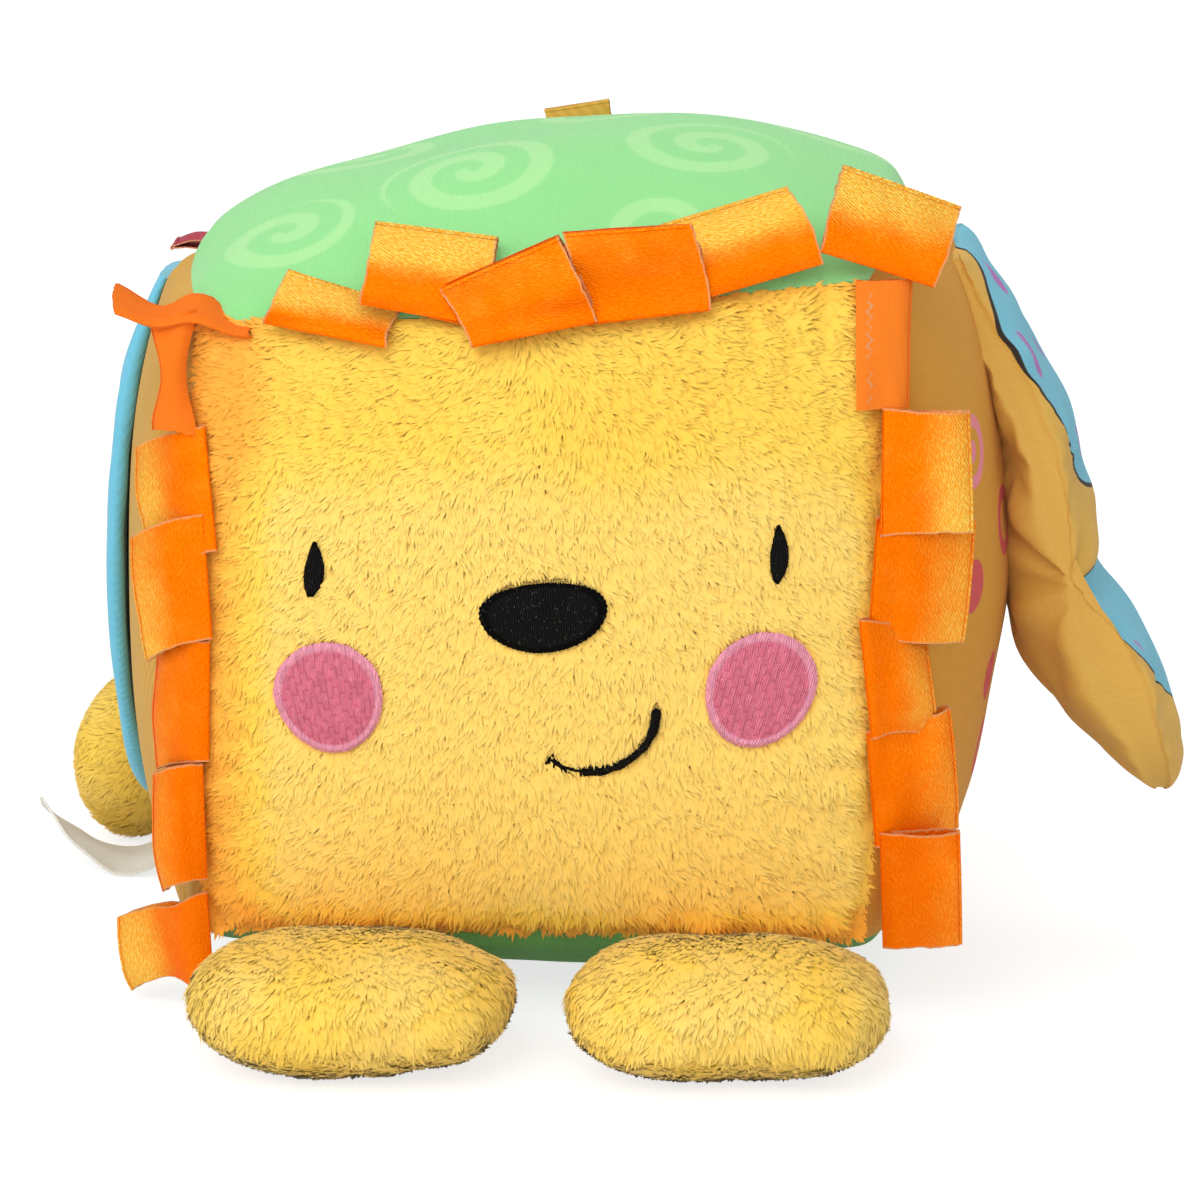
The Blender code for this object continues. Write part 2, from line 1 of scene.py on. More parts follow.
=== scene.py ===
"""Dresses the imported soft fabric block: plush face and feet, ribbon mane, printed cloths and stitched features."""

import logging
import math
from dataclasses import dataclass, replace
from enum import Enum
from typing import Callable

import bpy
import numpy as np
from mathutils import Matrix, Vector


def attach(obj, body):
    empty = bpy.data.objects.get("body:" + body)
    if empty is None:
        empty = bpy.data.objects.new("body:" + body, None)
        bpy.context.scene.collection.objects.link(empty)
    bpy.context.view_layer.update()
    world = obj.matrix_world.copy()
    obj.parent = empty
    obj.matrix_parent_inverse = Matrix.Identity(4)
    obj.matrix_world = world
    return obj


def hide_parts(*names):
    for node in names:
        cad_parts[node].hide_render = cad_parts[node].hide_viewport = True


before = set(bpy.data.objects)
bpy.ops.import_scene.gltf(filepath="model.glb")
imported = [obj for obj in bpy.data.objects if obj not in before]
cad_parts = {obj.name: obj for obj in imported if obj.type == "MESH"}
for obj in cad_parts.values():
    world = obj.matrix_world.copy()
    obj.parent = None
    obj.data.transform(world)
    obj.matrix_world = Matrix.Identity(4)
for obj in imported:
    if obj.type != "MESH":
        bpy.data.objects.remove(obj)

Colour = tuple[float, float, float]
Piece = bpy.types.Object
Array = np.ndarray

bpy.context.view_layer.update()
log = logging.getLogger("soft_fabric_block")


class Slot(Enum):
    """The material slots."""

    PLUSH = "plush_yellow"
    RIBBON = "satin_orange"
    GREEN = "cloth_green"
    YELLOW = "cloth_yellow"
    BLUE = "cloth_blue"
    RED = "satin_red"
    WHITE = "cloth_white"
    BLACK_THREAD = "stitch_black"
    PINK_THREAD = "stitch_pink"
    FIBRE = "stuffing"


class Side(Enum):
    """The six sides of the block, each as its fixed cube axis and end."""

    FACE = (1, -1)
    BACK = (1, 1)
    LEFT = (0, -1)
    RIGHT = (0, 1)
    TOP = (2, 1)
    BOTTOM = (2, -1)


class Weave(Enum):
    """How a cloth's threads show."""

    PLAIN = "plain"
    TWILL = "twill"


def unit(vectors: Array) -> Array:
    """Returns the vectors at length one."""
    return vectors / np.maximum(np.linalg.norm(vectors, axis=-1, keepdims=True), 1e-12)


def ease(share: Array) -> Array:
    """Returns a share eased at both ends."""
    share = np.clip(share, 0, 1)
    return share * share * (3 - 2 * share)


def rounded_end(s: Array, end_share: float, power: float) -> Array:
    """Returns what is left of a full size at s, where its end share rounds off."""
    return np.sqrt(np.maximum(0, 1 - np.maximum(0, (s - 1 + end_share) / end_share) ** power))


class Ripple:
    """Smooth unevenness made of crossing waves."""

    def __init__(self, seed: int, size: float, waves: int = 16) -> None:
        """Sets up the waves.

        Args:
            seed: Picks the waves, so that each run gives the same ones.
            size: The usual length of a wave, in metres.
            waves: How many waves cross.
        """
        rng = np.random.default_rng(seed)
        lengths = size * rng.uniform(0.6, 1.7, (waves, 1))
        self.steps = unit(rng.normal(size=(waves, 3))) * (2 * math.pi / lengths)
        self.starts = rng.uniform(0, 2 * math.pi, waves)

    def at(self, points: Array) -> Array:
        """Returns the unevenness at the points, about -1 to 1."""
        return np.sin(points @ self.steps.T + self.starts).sum(axis=1) / math.sqrt(len(self.starts))


def deselect_all() -> None:
    """Leaves nothing selected, so that an operator acts on its own piece alone."""
    for item in bpy.context.selected_objects:
        item.select_set(False)


def activate(piece: Piece) -> None:
    """Leaves only the piece selected, and makes it active."""
    deselect_all()
    piece.select_set(True)
    bpy.context.view_layer.objects.active = piece


def flat_grid(name: str, columns: int, rows: int) -> Piece:
    """Adds a grid from -1 to 1 each way, to be shaped.

    Args:
        name: The piece's name.
        columns: Cells across.
        rows: Cells along.

    Returns:
        The new piece.
    """
    deselect_all()
    bpy.ops.mesh.primitive_grid_add(x_subdivisions=columns, y_subdivisions=rows, size=2)
    piece = bpy.context.object
    piece.name = name
    piece.data.name = name
    return piece


def corners_of(piece: Piece) -> Array:
    """Returns the piece's vertices as an array."""
    flat = np.empty(len(piece.data.vertices) * 3)
    piece.data.vertices.foreach_get("co", flat)
    return flat.reshape(-1, 3)


def move_corners(piece: Piece, points: Array) -> None:
    """Puts the piece's vertices at the points."""
    piece.data.vertices.foreach_set("co", np.asarray(points, np.float32).ravel())
    piece.data.update()


def lay_cloth(piece: Piece, flat: Array) -> None:
    """Writes where each vertex lies on the flat cloth, in metres, into the piece's own UV map."""
    layer = piece.data.uv_layers.active or piece.data.uv_layers.new(name="Cloth")
    layer.name = "Cloth"
    loops = np.empty(len(piece.data.loops), np.int32)
    piece.data.loops.foreach_get("vertex_index", loops)
    layer.data.foreach_set("uv", np.asarray(flat, np.float32)[loops].ravel())


def note(piece: Piece, name: str, values: Array) -> None:
    """Writes one number for each vertex into the piece's own attribute."""
    layer = piece.data.attributes.new(name, "FLOAT", "POINT")
    layer.data.foreach_set("value", np.asarray(values, np.float32))


def finish_with(piece: Piece, kind: str, **settings: object) -> None:
    """Adds a modifier, sets it and applies it."""
    activate(piece)
    modifier = piece.modifiers.new(kind.title(), kind)
    for key, value in settings.items():
        setattr(modifier, key, value)
    bpy.ops.object.modifier_apply(modifier=modifier.name)


def smooth(piece: Piece, degrees: float = 60.0) -> None:
    """Shades the piece smooth, apart from edges sharper than the angle."""
    activate(piece)
    bpy.ops.object.shade_smooth_by_angle(angle=math.radians(degrees))


def dress(piece: Piece, material: bpy.types.Material, slot: Slot, body: str, *nodes: str) -> Piece:
    """Gives the piece its finish and body, and hides the CAD nodes that it stands for.

    Args:
        piece: The piece.
        material: Its finish.
        slot: The slot of that finish; not used.
        body: The CAD body that it rides on.
        nodes: The CAD nodes that it replaces.

    Returns:
        The piece.
    """
    piece.data.materials.clear()
    piece.data.materials.append(material)
    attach(piece, body)
    if nodes:
        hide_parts(*nodes)
    log.info("%s: %d faces", piece.name, len(piece.data.polygons))
    return piece


class Shading:
    """The node tree of one material, with short calls to add and join nodes."""

    def __init__(self, name: str) -> None:
        """Starts the material with its surface shader."""
        self.material = bpy.data.materials.new(name)
        self.material.use_nodes = True
        self.tree = self.material.node_tree
        self.surface = self.tree.nodes["Principled BSDF"]

    def put(self, socket: bpy.types.NodeSocket, value: object) -> None:
        """Joins a socket to another one, or sets its value."""
        if isinstance(value, bpy.types.NodeSocket):
            self.tree.links.new(value, socket)
        else:
            socket.default_value = value

    def add(self, kind: str, inputs: dict, **settings: object) -> bpy.types.Node:
        """Adds a node.

        Args:
            kind: Blender's name for the node's type.
            inputs: A value or socket for each input, by name or place.
            settings: The node's own settings.

        Returns:
            The node.
        """
        node = self.tree.nodes.new(kind)
        for key, value in settings.items():
            setattr(node, key, value)
        for key, value in inputs.items():
            self.put(node.inputs[key], value)
        return node

    def calc(self, operation: str, *values: object) -> bpy.types.NodeSocket:
        """Returns the result of a sum on sockets or numbers."""
        return self.add("ShaderNodeMath", dict(enumerate(values)), operation=operation).outputs[0]

    def times(self, *values: object) -> bpy.types.NodeSocket:
        """Returns the product of two sockets or numbers."""
        return self.calc("MULTIPLY", *values)

    def less(self, first: object, second: object) -> bpy.types.NodeSocket:
        """Returns the first less the second."""
        return self.calc("SUBTRACT", first, second)

    def apart(self, first: object, second: object) -> bpy.types.NodeSocket:
        """Returns how far apart two values are."""
        return self.calc("ABSOLUTE", self.less(first, second))

    def noted(self, name: str) -> bpy.types.NodeSocket:
        """Returns the piece's own attribute of that name."""
        return self.add("ShaderNodeAttribute", {}, attribute_name=name).outputs["Fac"]

    def colour(self, colour: object) -> None:
        """Sets the surface's colour."""
        self.put(self.surface.inputs["Base Color"], colour)

    def within(self, value: object, start: float, end: float) -> bpy.types.NodeSocket:
        """Returns 0 to 1 as the value goes from start to end, eased."""
        inputs = {"Value": value, "From Min": start, "From Max": end}
        return self.add("ShaderNodeMapRange", inputs, interpolation_type="SMOOTHSTEP").outputs[0]

    def mix(self, share: object, first: object, second: object) -> bpy.types.NodeSocket:
        """Returns a colour between two."""
        first, second = (c if isinstance(c, bpy.types.NodeSocket) else (*c, 1) for c in (first, second))
        return self.add("ShaderNodeMix", {0: share, 6: first, 7: second}, data_type="RGBA").outputs[2]

    def cloth(self) -> tuple[bpy.types.NodeSocket, bpy.types.NodeSocket]:
        """Returns across and along on the flat cloth, in metres."""
        flat = self.add("ShaderNodeUVMap", {}, uv_map="Cloth").outputs[0]
        parts = self.add("ShaderNodeSeparateXYZ", {0: flat})
        return parts.outputs[0], parts.outputs[1]

    def place(self) -> bpy.types.NodeSocket:
        """Returns the place on the object, in metres."""
        return self.add("ShaderNodeTexCoord", {}).outputs["Object"]

    def clouds(self, size: float, detail: float = 2.0, where: object = None) -> bpy.types.NodeSocket:
        """Returns soft noise from 0 to 1 whose blots are about size across."""
        inputs = {"Vector": where or self.place(), "Scale": 1 / size, "Detail": detail}
        return self.add("ShaderNodeTexNoise", inputs).outputs[0]

    def stripes(self, distance: object, pitch: float) -> bpy.types.NodeSocket:
        """Returns stripes from 0 to 1, one for each pitch of the distance."""
        wave = self.calc("SINE", self.calc("MULTIPLY", distance, 2 * math.pi / pitch))
        return self.calc("MULTIPLY_ADD", wave, 0.5, 0.5)

    def relief(self, height: object, depth: float, strength: float = 1.0) -> None:
        """Raises the surface by height, from 0 to 1, times depth."""
        inputs = {"Height": height, "Distance": depth, "Strength": strength}
        bump = self.add("ShaderNodeBump", inputs)
        self.put(self.surface.inputs["Normal"], bump.outputs[0])

    def sheen(self, roughness: float, **values: object) -> bpy.types.Material:
        """Sets the surface's own sockets.

        Args:
            roughness: The surface's roughness.
            values: Values for other sockets, their names written with underscores.

        Returns:
            The material.
        """
        self.surface.inputs["Roughness"].default_value = roughness
        for key, value in values.items():
            self.surface.inputs[key.replace("_", " ")].default_value = value
        return self.material


@dataclass(frozen=True)
class Finish:
    """A material that is made once and then shared."""

    name: str

    def material(self) -> bpy.types.Material:
        """Returns the material, made on the first call."""
        return bpy.data.materials.get(self.name) or self.paint(Shading(self.name))

    def paint(self, shading: Shading) -> bpy.types.Material:
        """Sets up the material's nodes and returns it."""
        raise NotImplementedError


@dataclass(frozen=True)
class ClothFinish(Finish):
    """A woven cloth: its colour, its threads, the painted shade in the grooves between them and how much it varies."""

    colour: Colour
    deep: Colour
    weave: Weave = Weave.PLAIN
    pitch: float = 0.00045
    relief: float = 0.00006
    roughness: float = 0.82
    fuzz: float = 0.25
    # depth: how far the grooves between threads are darkened toward the deep colour, as painted shade.
    depth: float = 0.12
    printing: Callable | None = None

    def paint(self, shading: Shading) -> bpy.types.Material:
        """Sets up the cloth's nodes and returns its material."""
        across, along = shading.cloth()
        if self.weave is Weave.PLAIN:
            warp = shading.stripes(across, self.pitch)
            weft = shading.stripes(along, self.pitch)
            threads = shading.times(warp, weft)
        else:
            slant = shading.calc("MULTIPLY_ADD", along, 0.62, across)
            threads = shading.stripes(slant, self.pitch * 1.7)
        soft = shading.clouds(0.022)
        slub = shading.clouds(0.0012, 3.0)
        colour = shading.mix(shading.times(soft, 0.45), self.colour, self.deep)
        if self.printing:
            colour = self.printing(shading, across, along, colour)
        # Painted shade: the grooves between threads are darkened toward the deep colour.
        wear_and_groove_shade = shading.times(shading.less(1.0, threads), self.depth)
        colour = shading.mix(wear_and_groove_shade, colour, shading.mix(0.5, colour, self.deep))
        shading.colour(colour)
        height = shading.calc("MULTIPLY_ADD", slub, 0.6, threads)
        shading.relief(height, self.relief)
        return shading.sheen(self.roughness, Sheen_Weight=self.fuzz, Sheen_Roughness=0.5, Specular_IOR_Level=0.25)


@dataclass(frozen=True)
class SatinFinish(Finish):
    """Satin ribbon: a diagonal weave of shiny threads, with its golden highlight, sparkle and glints painted into its
    colour.
    """

    colour: Colour
    deep: Colour
    glint: Colour
    gold_tint_and_painted_light: Colour
    painted_sparkle: Colour = (1.0, 0.82, 0.22)
    edge: Colour = (0.72, 0.42, 0.20)
    pitch: float = 0.00062
    roughness: float = 0.42
    shine: float = 0.35
    metal: float = 0.55

    def paint(self, shading: Shading) -> bpy.types.Material:
        """Sets up the ribbon's nodes and returns its material."""
        across, along = shading.cloth()
        slant = shading.stripes(shading.calc("MULTIPLY_ADD", across, 0.55, along), self.pitch)
        lying = {0: shading.calc("MULTIPLY_ADD", along, 0.5, shading.times(across, 0.5)), 1: along}
        dashes = shading.clouds(0.00042, 1.0, shading.add("ShaderNodeCombineXYZ", lying).outputs[0])
        dots = shading.within(shading.calc("MULTIPLY_ADD", slant, 0.16, dashes), 0.42, 0.82)
        threads = shading.stripes(across, self.pitch * 0.4)
        soft = shading.clouds(0.006)
        colour = shading.mix(shading.times(soft, 0.5), self.colour, self.deep)
        # Painted glint: the weave's floats are tinted toward the glint colour.
        colour = shading.mix(shading.times(dots, 0.35), colour, self.glint)
        # Painted highlight: where the glow attribute is high, the colour turns golden, with painted sparkle on the
        # floats.
        glow = shading.noted("glow")
        wrinkled = shading.calc("MULTIPLY_ADD", shading.clouds(0.005), 0.4, glow)
        glow = shading.within(wrinkled, 0.15, 1.25)
        colour = shading.mix(shading.times(glow, 0.85), colour, self.gold_tint_and_painted_light)
        painted_sparkle = shading.times(shading.times(dots, glow), 0.6)
        colour = shading.mix(painted_sparkle, colour, self.painted_sparkle)
        grains = shading.times(shading.times(shading.less(1.0, dots), glow), 0.22)
        colour = shading.mix(grains, colour, self.colour)
        selvedge = shading.noted("selvedge")
        frayed = shading.within(shading.calc("MULTIPLY_ADD", shading.clouds(0.0008), 0.05, selvedge), 0.985, 1.01)
        colour = shading.mix(shading.times(frayed, 0.7), colour, self.edge)
        shading.colour(colour)
        gloss = shading.calc("MULTIPLY_ADD", dots, -0.14, self.roughness)
        shading.put(shading.surface.inputs["Roughness"], shading.calc("MULTIPLY_ADD", frayed, 0.4, gloss))
        shading.relief(shading.calc("MULTIPLY_ADD", threads, 0.3, dots), 0.00012, 0.7)
        return shading.sheen(
            self.roughness, Specular_IOR_Level=self.shine, Specular_Tint=(*self.glint, 1), Metallic=self.metal
        )


@dataclass(frozen=True)
class PileFinish(Finish):
    """Plush pile, deeper in colour at its roots as painted shade between the tufts, paler at its tips as painted light,
    and gold to orange by its tint and painted light.
    """

    name: str = "plush_pile"
    root: Colour = (1.00, 0.60, 0.12)
    body: Colour = (1.00, 0.65, 0.13)
    tip: Colour = (1.00, 0.73, 0.19)
    gold_tint_and_painted_light: Colour = (1.00, 0.62, 0.05)
    orange_and_painted_light: Colour = (1.00, 0.36, 0.03)

    def paint(self, shading: Shading) -> bpy.types.Material:
        """Sets up the pile's nodes and returns its material."""
        height = shading.noted("pile_height")
        shade = shading.noted("pile_shade")
        tint_and_painted_light = shading.noted("pile_tint_and_painted_light")
        # Painted shade at the roots and painted light at the tips.
        colour = shading.mix(shading.within(height, 0.0, 0.55), self.root, self.body)
        paler = shading.times(shading.within(height, 0.45, 1.0), shade)
        colour = shading.mix(paler, colour, self.tip)
        # Gold and orange from the pile's tint and its painted reflection and shade.
        colour = shading.mix(shading.times(shading.within(tint_and_painted_light, 0.0, 0.5), 0.75), colour, self.gold_tint_and_painted_light)
        colour = shading.mix(shading.times(shading.within(tint_and_painted_light, 0.4, 1.1), 0.85), colour, self.orange_and_painted_light)
        shading.colour(colour)
        return shading.sheen(
            0.65, Sheen_Weight=0.3, Sheen_Roughness=0.4, Sheen_Tint=(1.0, 0.88, 0.55, 1), Specular_IOR_Level=0.3
        )


@dataclass(frozen=True)
class ThreadFinish(Finish):
    """Satin stitch: close parallel threads, with an edge row that may be paler, painted sheen and glints on the threads
    and painted shade in the gaps between stitches.
    """

    colour: Colour
    deep: Colour
    edge: Colour
    tone_and_painted_sheen: Colour
    pitch: float = 0.00042
    edge_from: float = 0.86
    roughness: float = 0.5
    shine: float = 0.3
    painted_glints: float = 0.5
    bricks: bool = False

    def paint(self, shading: Shading) -> bpy.types.Material:
        """Sets up the stitching's nodes and returns its material."""
        across, along = shading.cloth()
        reach = shading.noted("reach")
        rows = shading.calc("MULTIPLY_ADD", shading.clouds(0.003), 0.0012, across)
        threads = shading.stripes(rows, self.pitch)
        ends = shading.stripes(shading.calc("MULTIPLY_ADD", across, 1.7, along), self.pitch * 4.5)
        # Painted sheen on the thread ridges.
        colour = shading.mix(shading.times(threads, 0.10), self.colour, self.tone_and_painted_sheen)
        if self.bricks:
            column = shading.calc("DIVIDE", across, 0.0011)
            beside = shading.apart(shading.calc("FRACT", column), 0.5)
            shift = shading.times(shading.calc("FLOOR", column), 0.39)
            row = shading.calc("FRACT", shading.calc("MULTIPLY_ADD", along, 1 / 0.0038, shift))
            gap = shading.calc("MAXIMUM", shading.within(beside, 0.30, 0.5), shading.within(row, 0.16, 0.0))
            # Painted sheen along each stitch, with random tone.
            fall = shading.calc("MULTIPLY_ADD", row, 0.18, shading.times(shading.clouds(0.0022), 0.25))
            colour = shading.mix(fall, colour, self.tone_and_painted_sheen)
            # Painted shade in the gaps between stitches.
            colour = shading.mix(shading.times(gap, 0.30), colour, self.deep)
            ends = shading.less(1.0, gap)
        edge = shading.within(reach, self.edge_from - 0.03, self.edge_from + 0.02)
        colour = shading.mix(edge, colour, self.edge)
        # Painted glints: tiny sparkles in the sheen colour.
        glints = shading.within(shading.clouds(0.0005, 1.0), 0.66, 0.72)
        colour = shading.mix(shading.times(glints, self.painted_glints), colour, self.tone_and_painted_sheen)
        shading.colour(colour)
        height = shading.calc("MULTIPLY_ADD", ends, 0.6, threads)
        shading.relief(height, 0.00022)
        return shading.sheen(self.roughness, Specular_IOR_Level=self.shine)


@dataclass(frozen=True)
class FibreFinish(Finish):
    """Loose white stuffing."""

    name: str = "stuffing_fibre"
    colour: Colour = (0.84, 0.83, 0.80)
    deep: Colour = (0.62, 0.61, 0.58)

    def paint(self, shading: Shading) -> bpy.types.Material:
        """Sets up the stuffing's nodes and returns its material."""
        tangle = shading.clouds(0.003, 6.0)
        shading.colour(shading.mix(tangle, self.colour, self.deep))
        shading.relief(tangle, 0.0006)
        return shading.sheen(0.95, Sheen_Weight=0.3)


def print_spirals(shading: Shading, across: object, along: object, ground: object) -> object:
    """Prints pale spirals on the green cloth.

    Args:
        shading: The cloth's node tree.
        across: Across the cloth, in metres.
        along: Along the cloth, in metres.
        ground: The cloth's own colour.

    Returns:
        The printed colour.
    """
    pale = (0.44, 0.80, 0.34)
    colour = ground
    for x, y, radius, hand, pitch in SPIRALS:
        right = shading.less(across, x)
        up = shading.less(along, y)
        turn = shading.calc("ARCTAN2", up, shading.times(right, hand))
        reach = shading.calc("SQRT", shading.calc("MULTIPLY_ADD", up, up, shading.times(right, right)))
        winding = shading.calc("MULTIPLY_ADD", turn, -1 / (2 * math.pi), shading.calc("DIVIDE", reach, pitch))
        band = shading.apart(shading.calc("FRACT", winding), 0.5)
        inked = shading.within(band, 0.30, 0.19)
        inked = shading.times(inked, shading.within(reach, radius, radius - 0.0012))
        colour = shading.mix(shading.times(inked, 0.62), colour, pale)
    return colour


def print_rings(shading: Shading, across: object, along: object, ground: object) -> object:
    """Prints scattered rings and dots in reds and pinks on the right panel's cloth.

    Args:
        shading: The cloth's node tree.
        across: Across the cloth, in metres.
        along: Along the cloth, in metres.
        ground: The cloth's own colour.

    Returns:
        The printed colour.
    """
    flat = shading.add("ShaderNodeCombineXYZ", {0: across, 1: along}).outputs[0]
    cells = shading.add("ShaderNodeTexVoronoi", {"Vector": flat, "Scale": 1 / 0.024, "Randomness": 0.55})
    reach = cells.outputs["Distance"]
    pick = shading.add("ShaderNodeSeparateColor", {0: cells.outputs["Color"]}).outputs[0]
    ring = shading.apart(reach, 0.25)
    ringed = shading.within(ring, 0.055, 0.040)
    dotted = shading.within(reach, 0.125, 0.105)
    ink = shading.mix(shading.within(pick, 0.45, 0.55), (0.66, 0.055, 0.10), (0.86, 0.25, 0.36))
    far = shading.add("ShaderNodeVectorMath", {0: flat}, operation="LENGTH").outputs["Value"]
    inside = shading.times(shading.within(far, 0.052, 0.049), 0.9)
    colour = shading.mix(shading.times(ringed, inside), ground, ink)
    return shading.mix(shading.times(dotted, inside), colour, (0.86, 0.25, 0.36))


def print_wing(shading: Shading, across: object, along: object, ground: object) -> object:
    """Prints two blue fields with dark outlines and lilac ovals on the wing's outer cloth.

    Args:
        shading: The cloth's node tree.
        across: Across the cloth, in metres.
        along: Along the cloth, in metres.
        ground: The cloth's own colour.

    Returns:
        The printed colour.
    """
    reaches = []
    fields = ((0.0060, 0.0220, 0.0300, 0.0255, 0.0), (0.0040, 0.0745, 0.0302, 0.0138, 0.32))
    for middle_across, middle_along, wide, tall, lean in fields:
        x = shading.calc("DIVIDE", shading.less(across, middle_across), wide)
        lower = shading.calc("MULTIPLY_ADD", across, -lean, shading.less(along, middle_along))
        y = shading.calc("DIVIDE", lower, tall)
        square = shading.calc("MULTIPLY_ADD", y, y, shading.times(x, x))
        reaches.append(shading.calc("SQRT", square))
    wobble = shading.times(shading.less(shading.clouds(0.016), 0.5), 0.08)
    reach = shading.calc("ADD", shading.calc("MINIMUM", *reaches), wobble)
    blue = shading.mix(shading.clouds(0.01), (0.15, 0.50, 0.66), (0.20, 0.58, 0.72))
    flat = shading.add("ShaderNodeCombineXYZ", {0: across, 1: shading.times(along, 0.6)}).outputs[0]
    cells = shading.add("ShaderNodeTexVoronoi", {"Vector": flat, "Scale": 1 / 0.0105, "Randomness": 0.45})
    ovals = shading.within(cells.outputs["Distance"], 0.27, 0.24)
    field = shading.mix(shading.times(ovals, shading.within(reach, 0.90, 0.84)), blue, (0.44, 0.17, 0.50))
    colour = shading.mix(shading.within(reach, 1.0, 0.985), ground, field)
    outline = shading.within(shading.apart(reach, 1.0), 0.022, 0.013)
    return shading.mix(outline, colour, (0.010, 0.012, 0.018))


def stitch_border(shading: Shading, across: object, along: object, ground: object) -> object:
    """Sews a pale zigzag line close to the ribbon's sewn end.

    Args:
        shading: The ribbon's node tree.
        across: Across the ribbon, in metres.
        along: Along the ribbon, in metres.
        ground: The ribbon's own colour.

    Returns:
        The colour with the line.
    """
    swing = shading.calc("PINGPONG", across, 0.0011)
    sewn_end = shading.noted("from_root")
    line = shading.less(shading.less(sewn_end, 0.0022), swing)
    sewn = shading.within(shading.calc("ABSOLUTE", line), 0.00030, 0.00014)
    wear_and_groove_shade = shading.within(shading.clouds(0.003), 0.35, 0.65)
    return shading.mix(shading.times(sewn, wear_and_groove_shade), ground, (0.62, 0.34, 0.17))


SPIRALS = (
    (-0.0135, -0.0325, 0.0170, 1, 0.0088),
    (0.0297, -0.0205, 0.0160, -1, 0.0088),
    (-0.0480, -0.0390, 0.0140, 1, 0.0088),
    (0.0240, -0.0520, 0.0110, 1, 0.0088),
    (-0.0330, 0.0040, 0.0150, -1, 0.0088),
    (0.0080, 0.0170, 0.0165, 1, 0.0088),
    (0.0500, 0.0120, 0.0140, 1, 0.0088),
    (-0.0120, 0.0480, 0.0150, -1, 0.0088),
    (0.0340, 0.0470, 0.0150, 1, 0.0088),
    (-0.0520, 0.0420, 0.0130, 1, 0.0088),
)

GREEN_PRINT = ClothFinish("green_spirals", (0.28, 0.72, 0.26), (0.23, 0.64, 0.22), printing=print_spirals)
# The bottom's plain green is a darker copy of the top's green cloth, as painted shade.
GREEN_PAINTED_SHADE = ClothFinish("green_plain_painted_shade", (0.15, 0.42, 0.11), (0.11, 0.34, 0.08), fuzz=0.1)
YELLOW_TWILL = ClothFinish(
    "yellow_twill", (0.70, 0.40, 0.07), (0.50, 0.25, 0.03), Weave.TWILL, 0.0016, depth=0.9, fuzz=0.05
)
YELLOW_PRINT = ClothFinish("yellow_rings", (0.72, 0.34, 0.04), (0.61, 0.26, 0.02), printing=print_rings, fuzz=0.05)
YELLOW_PLAIN = ClothFinish("yellow_plain", (0.76, 0.47, 0.10), (0.60, 0.31, 0.05), fuzz=0.05)
WING_PRINT = ClothFinish("wing_print", (0.76, 0.47, 0.10), (0.60, 0.31, 0.05), printing=print_wing, fuzz=0.05)
BLUE_TWILL = ClothFinish("blue_twill", (0.16, 0.54, 0.72), (0.11, 0.44, 0.62), Weave.TWILL, 0.0007, depth=0.4)
WHITE_TAPE = ClothFinish("white_tape", (0.82, 0.79, 0.70), (0.68, 0.66, 0.60), Weave.TWILL, 0.0005, depth=0.4)
FELT = ClothFinish("ribbon_reverse", (0.90, 0.19, 0.008), (0.76, 0.13, 0.006), relief=0.00008, roughness=0.95, fuzz=0.0)
SEWN_FELT = ClothFinish(
    "ribbon_sewn",
    (0.90, 0.22, 0.015),
    (0.80, 0.16, 0.01),
    relief=0.00008,
    roughness=0.95,
    fuzz=0.0,
    printing=stitch_border,
)
BACKING = ClothFinish("plush_backing", (1.0, 0.64, 0.12), (0.98, 0.56, 0.08), relief=0.0004, fuzz=0.4, depth=0.0)
ORANGE_SATIN = SatinFinish(
    "orange_satin", (0.93, 0.165, 0.0), (0.84, 0.115, 0.0), (1.0, 0.28, 0.004), (0.88, 0.53, 0.045)
)
RED_SATIN = SatinFinish("red_satin", (0.52, 0.035, 0.075), (0.40, 0.02, 0.05), (0.90, 0.35, 0.40), (0.90, 0.50, 0.50))
PLUSH = PileFinish()
FIBRE = FibreFinish()
BLACK_STITCH = ThreadFinish(
    "black_stitch", (0.003, 0.003, 0.003), (0.002, 0.002, 0.002), (0.003, 0.003, 0.003), (0.10, 0.10, 0.09), shine=0.03
)
PINK_STITCH = ThreadFinish(
    "pink_stitch",
    (0.74, 0.13, 0.22),
    (0.50, 0.045, 0.12),
    (0.90, 0.34, 0.46),
    (0.92, 0.34, 0.42),
    edge_from=0.86,
    painted_glints=0.4,
    bricks=True,
)


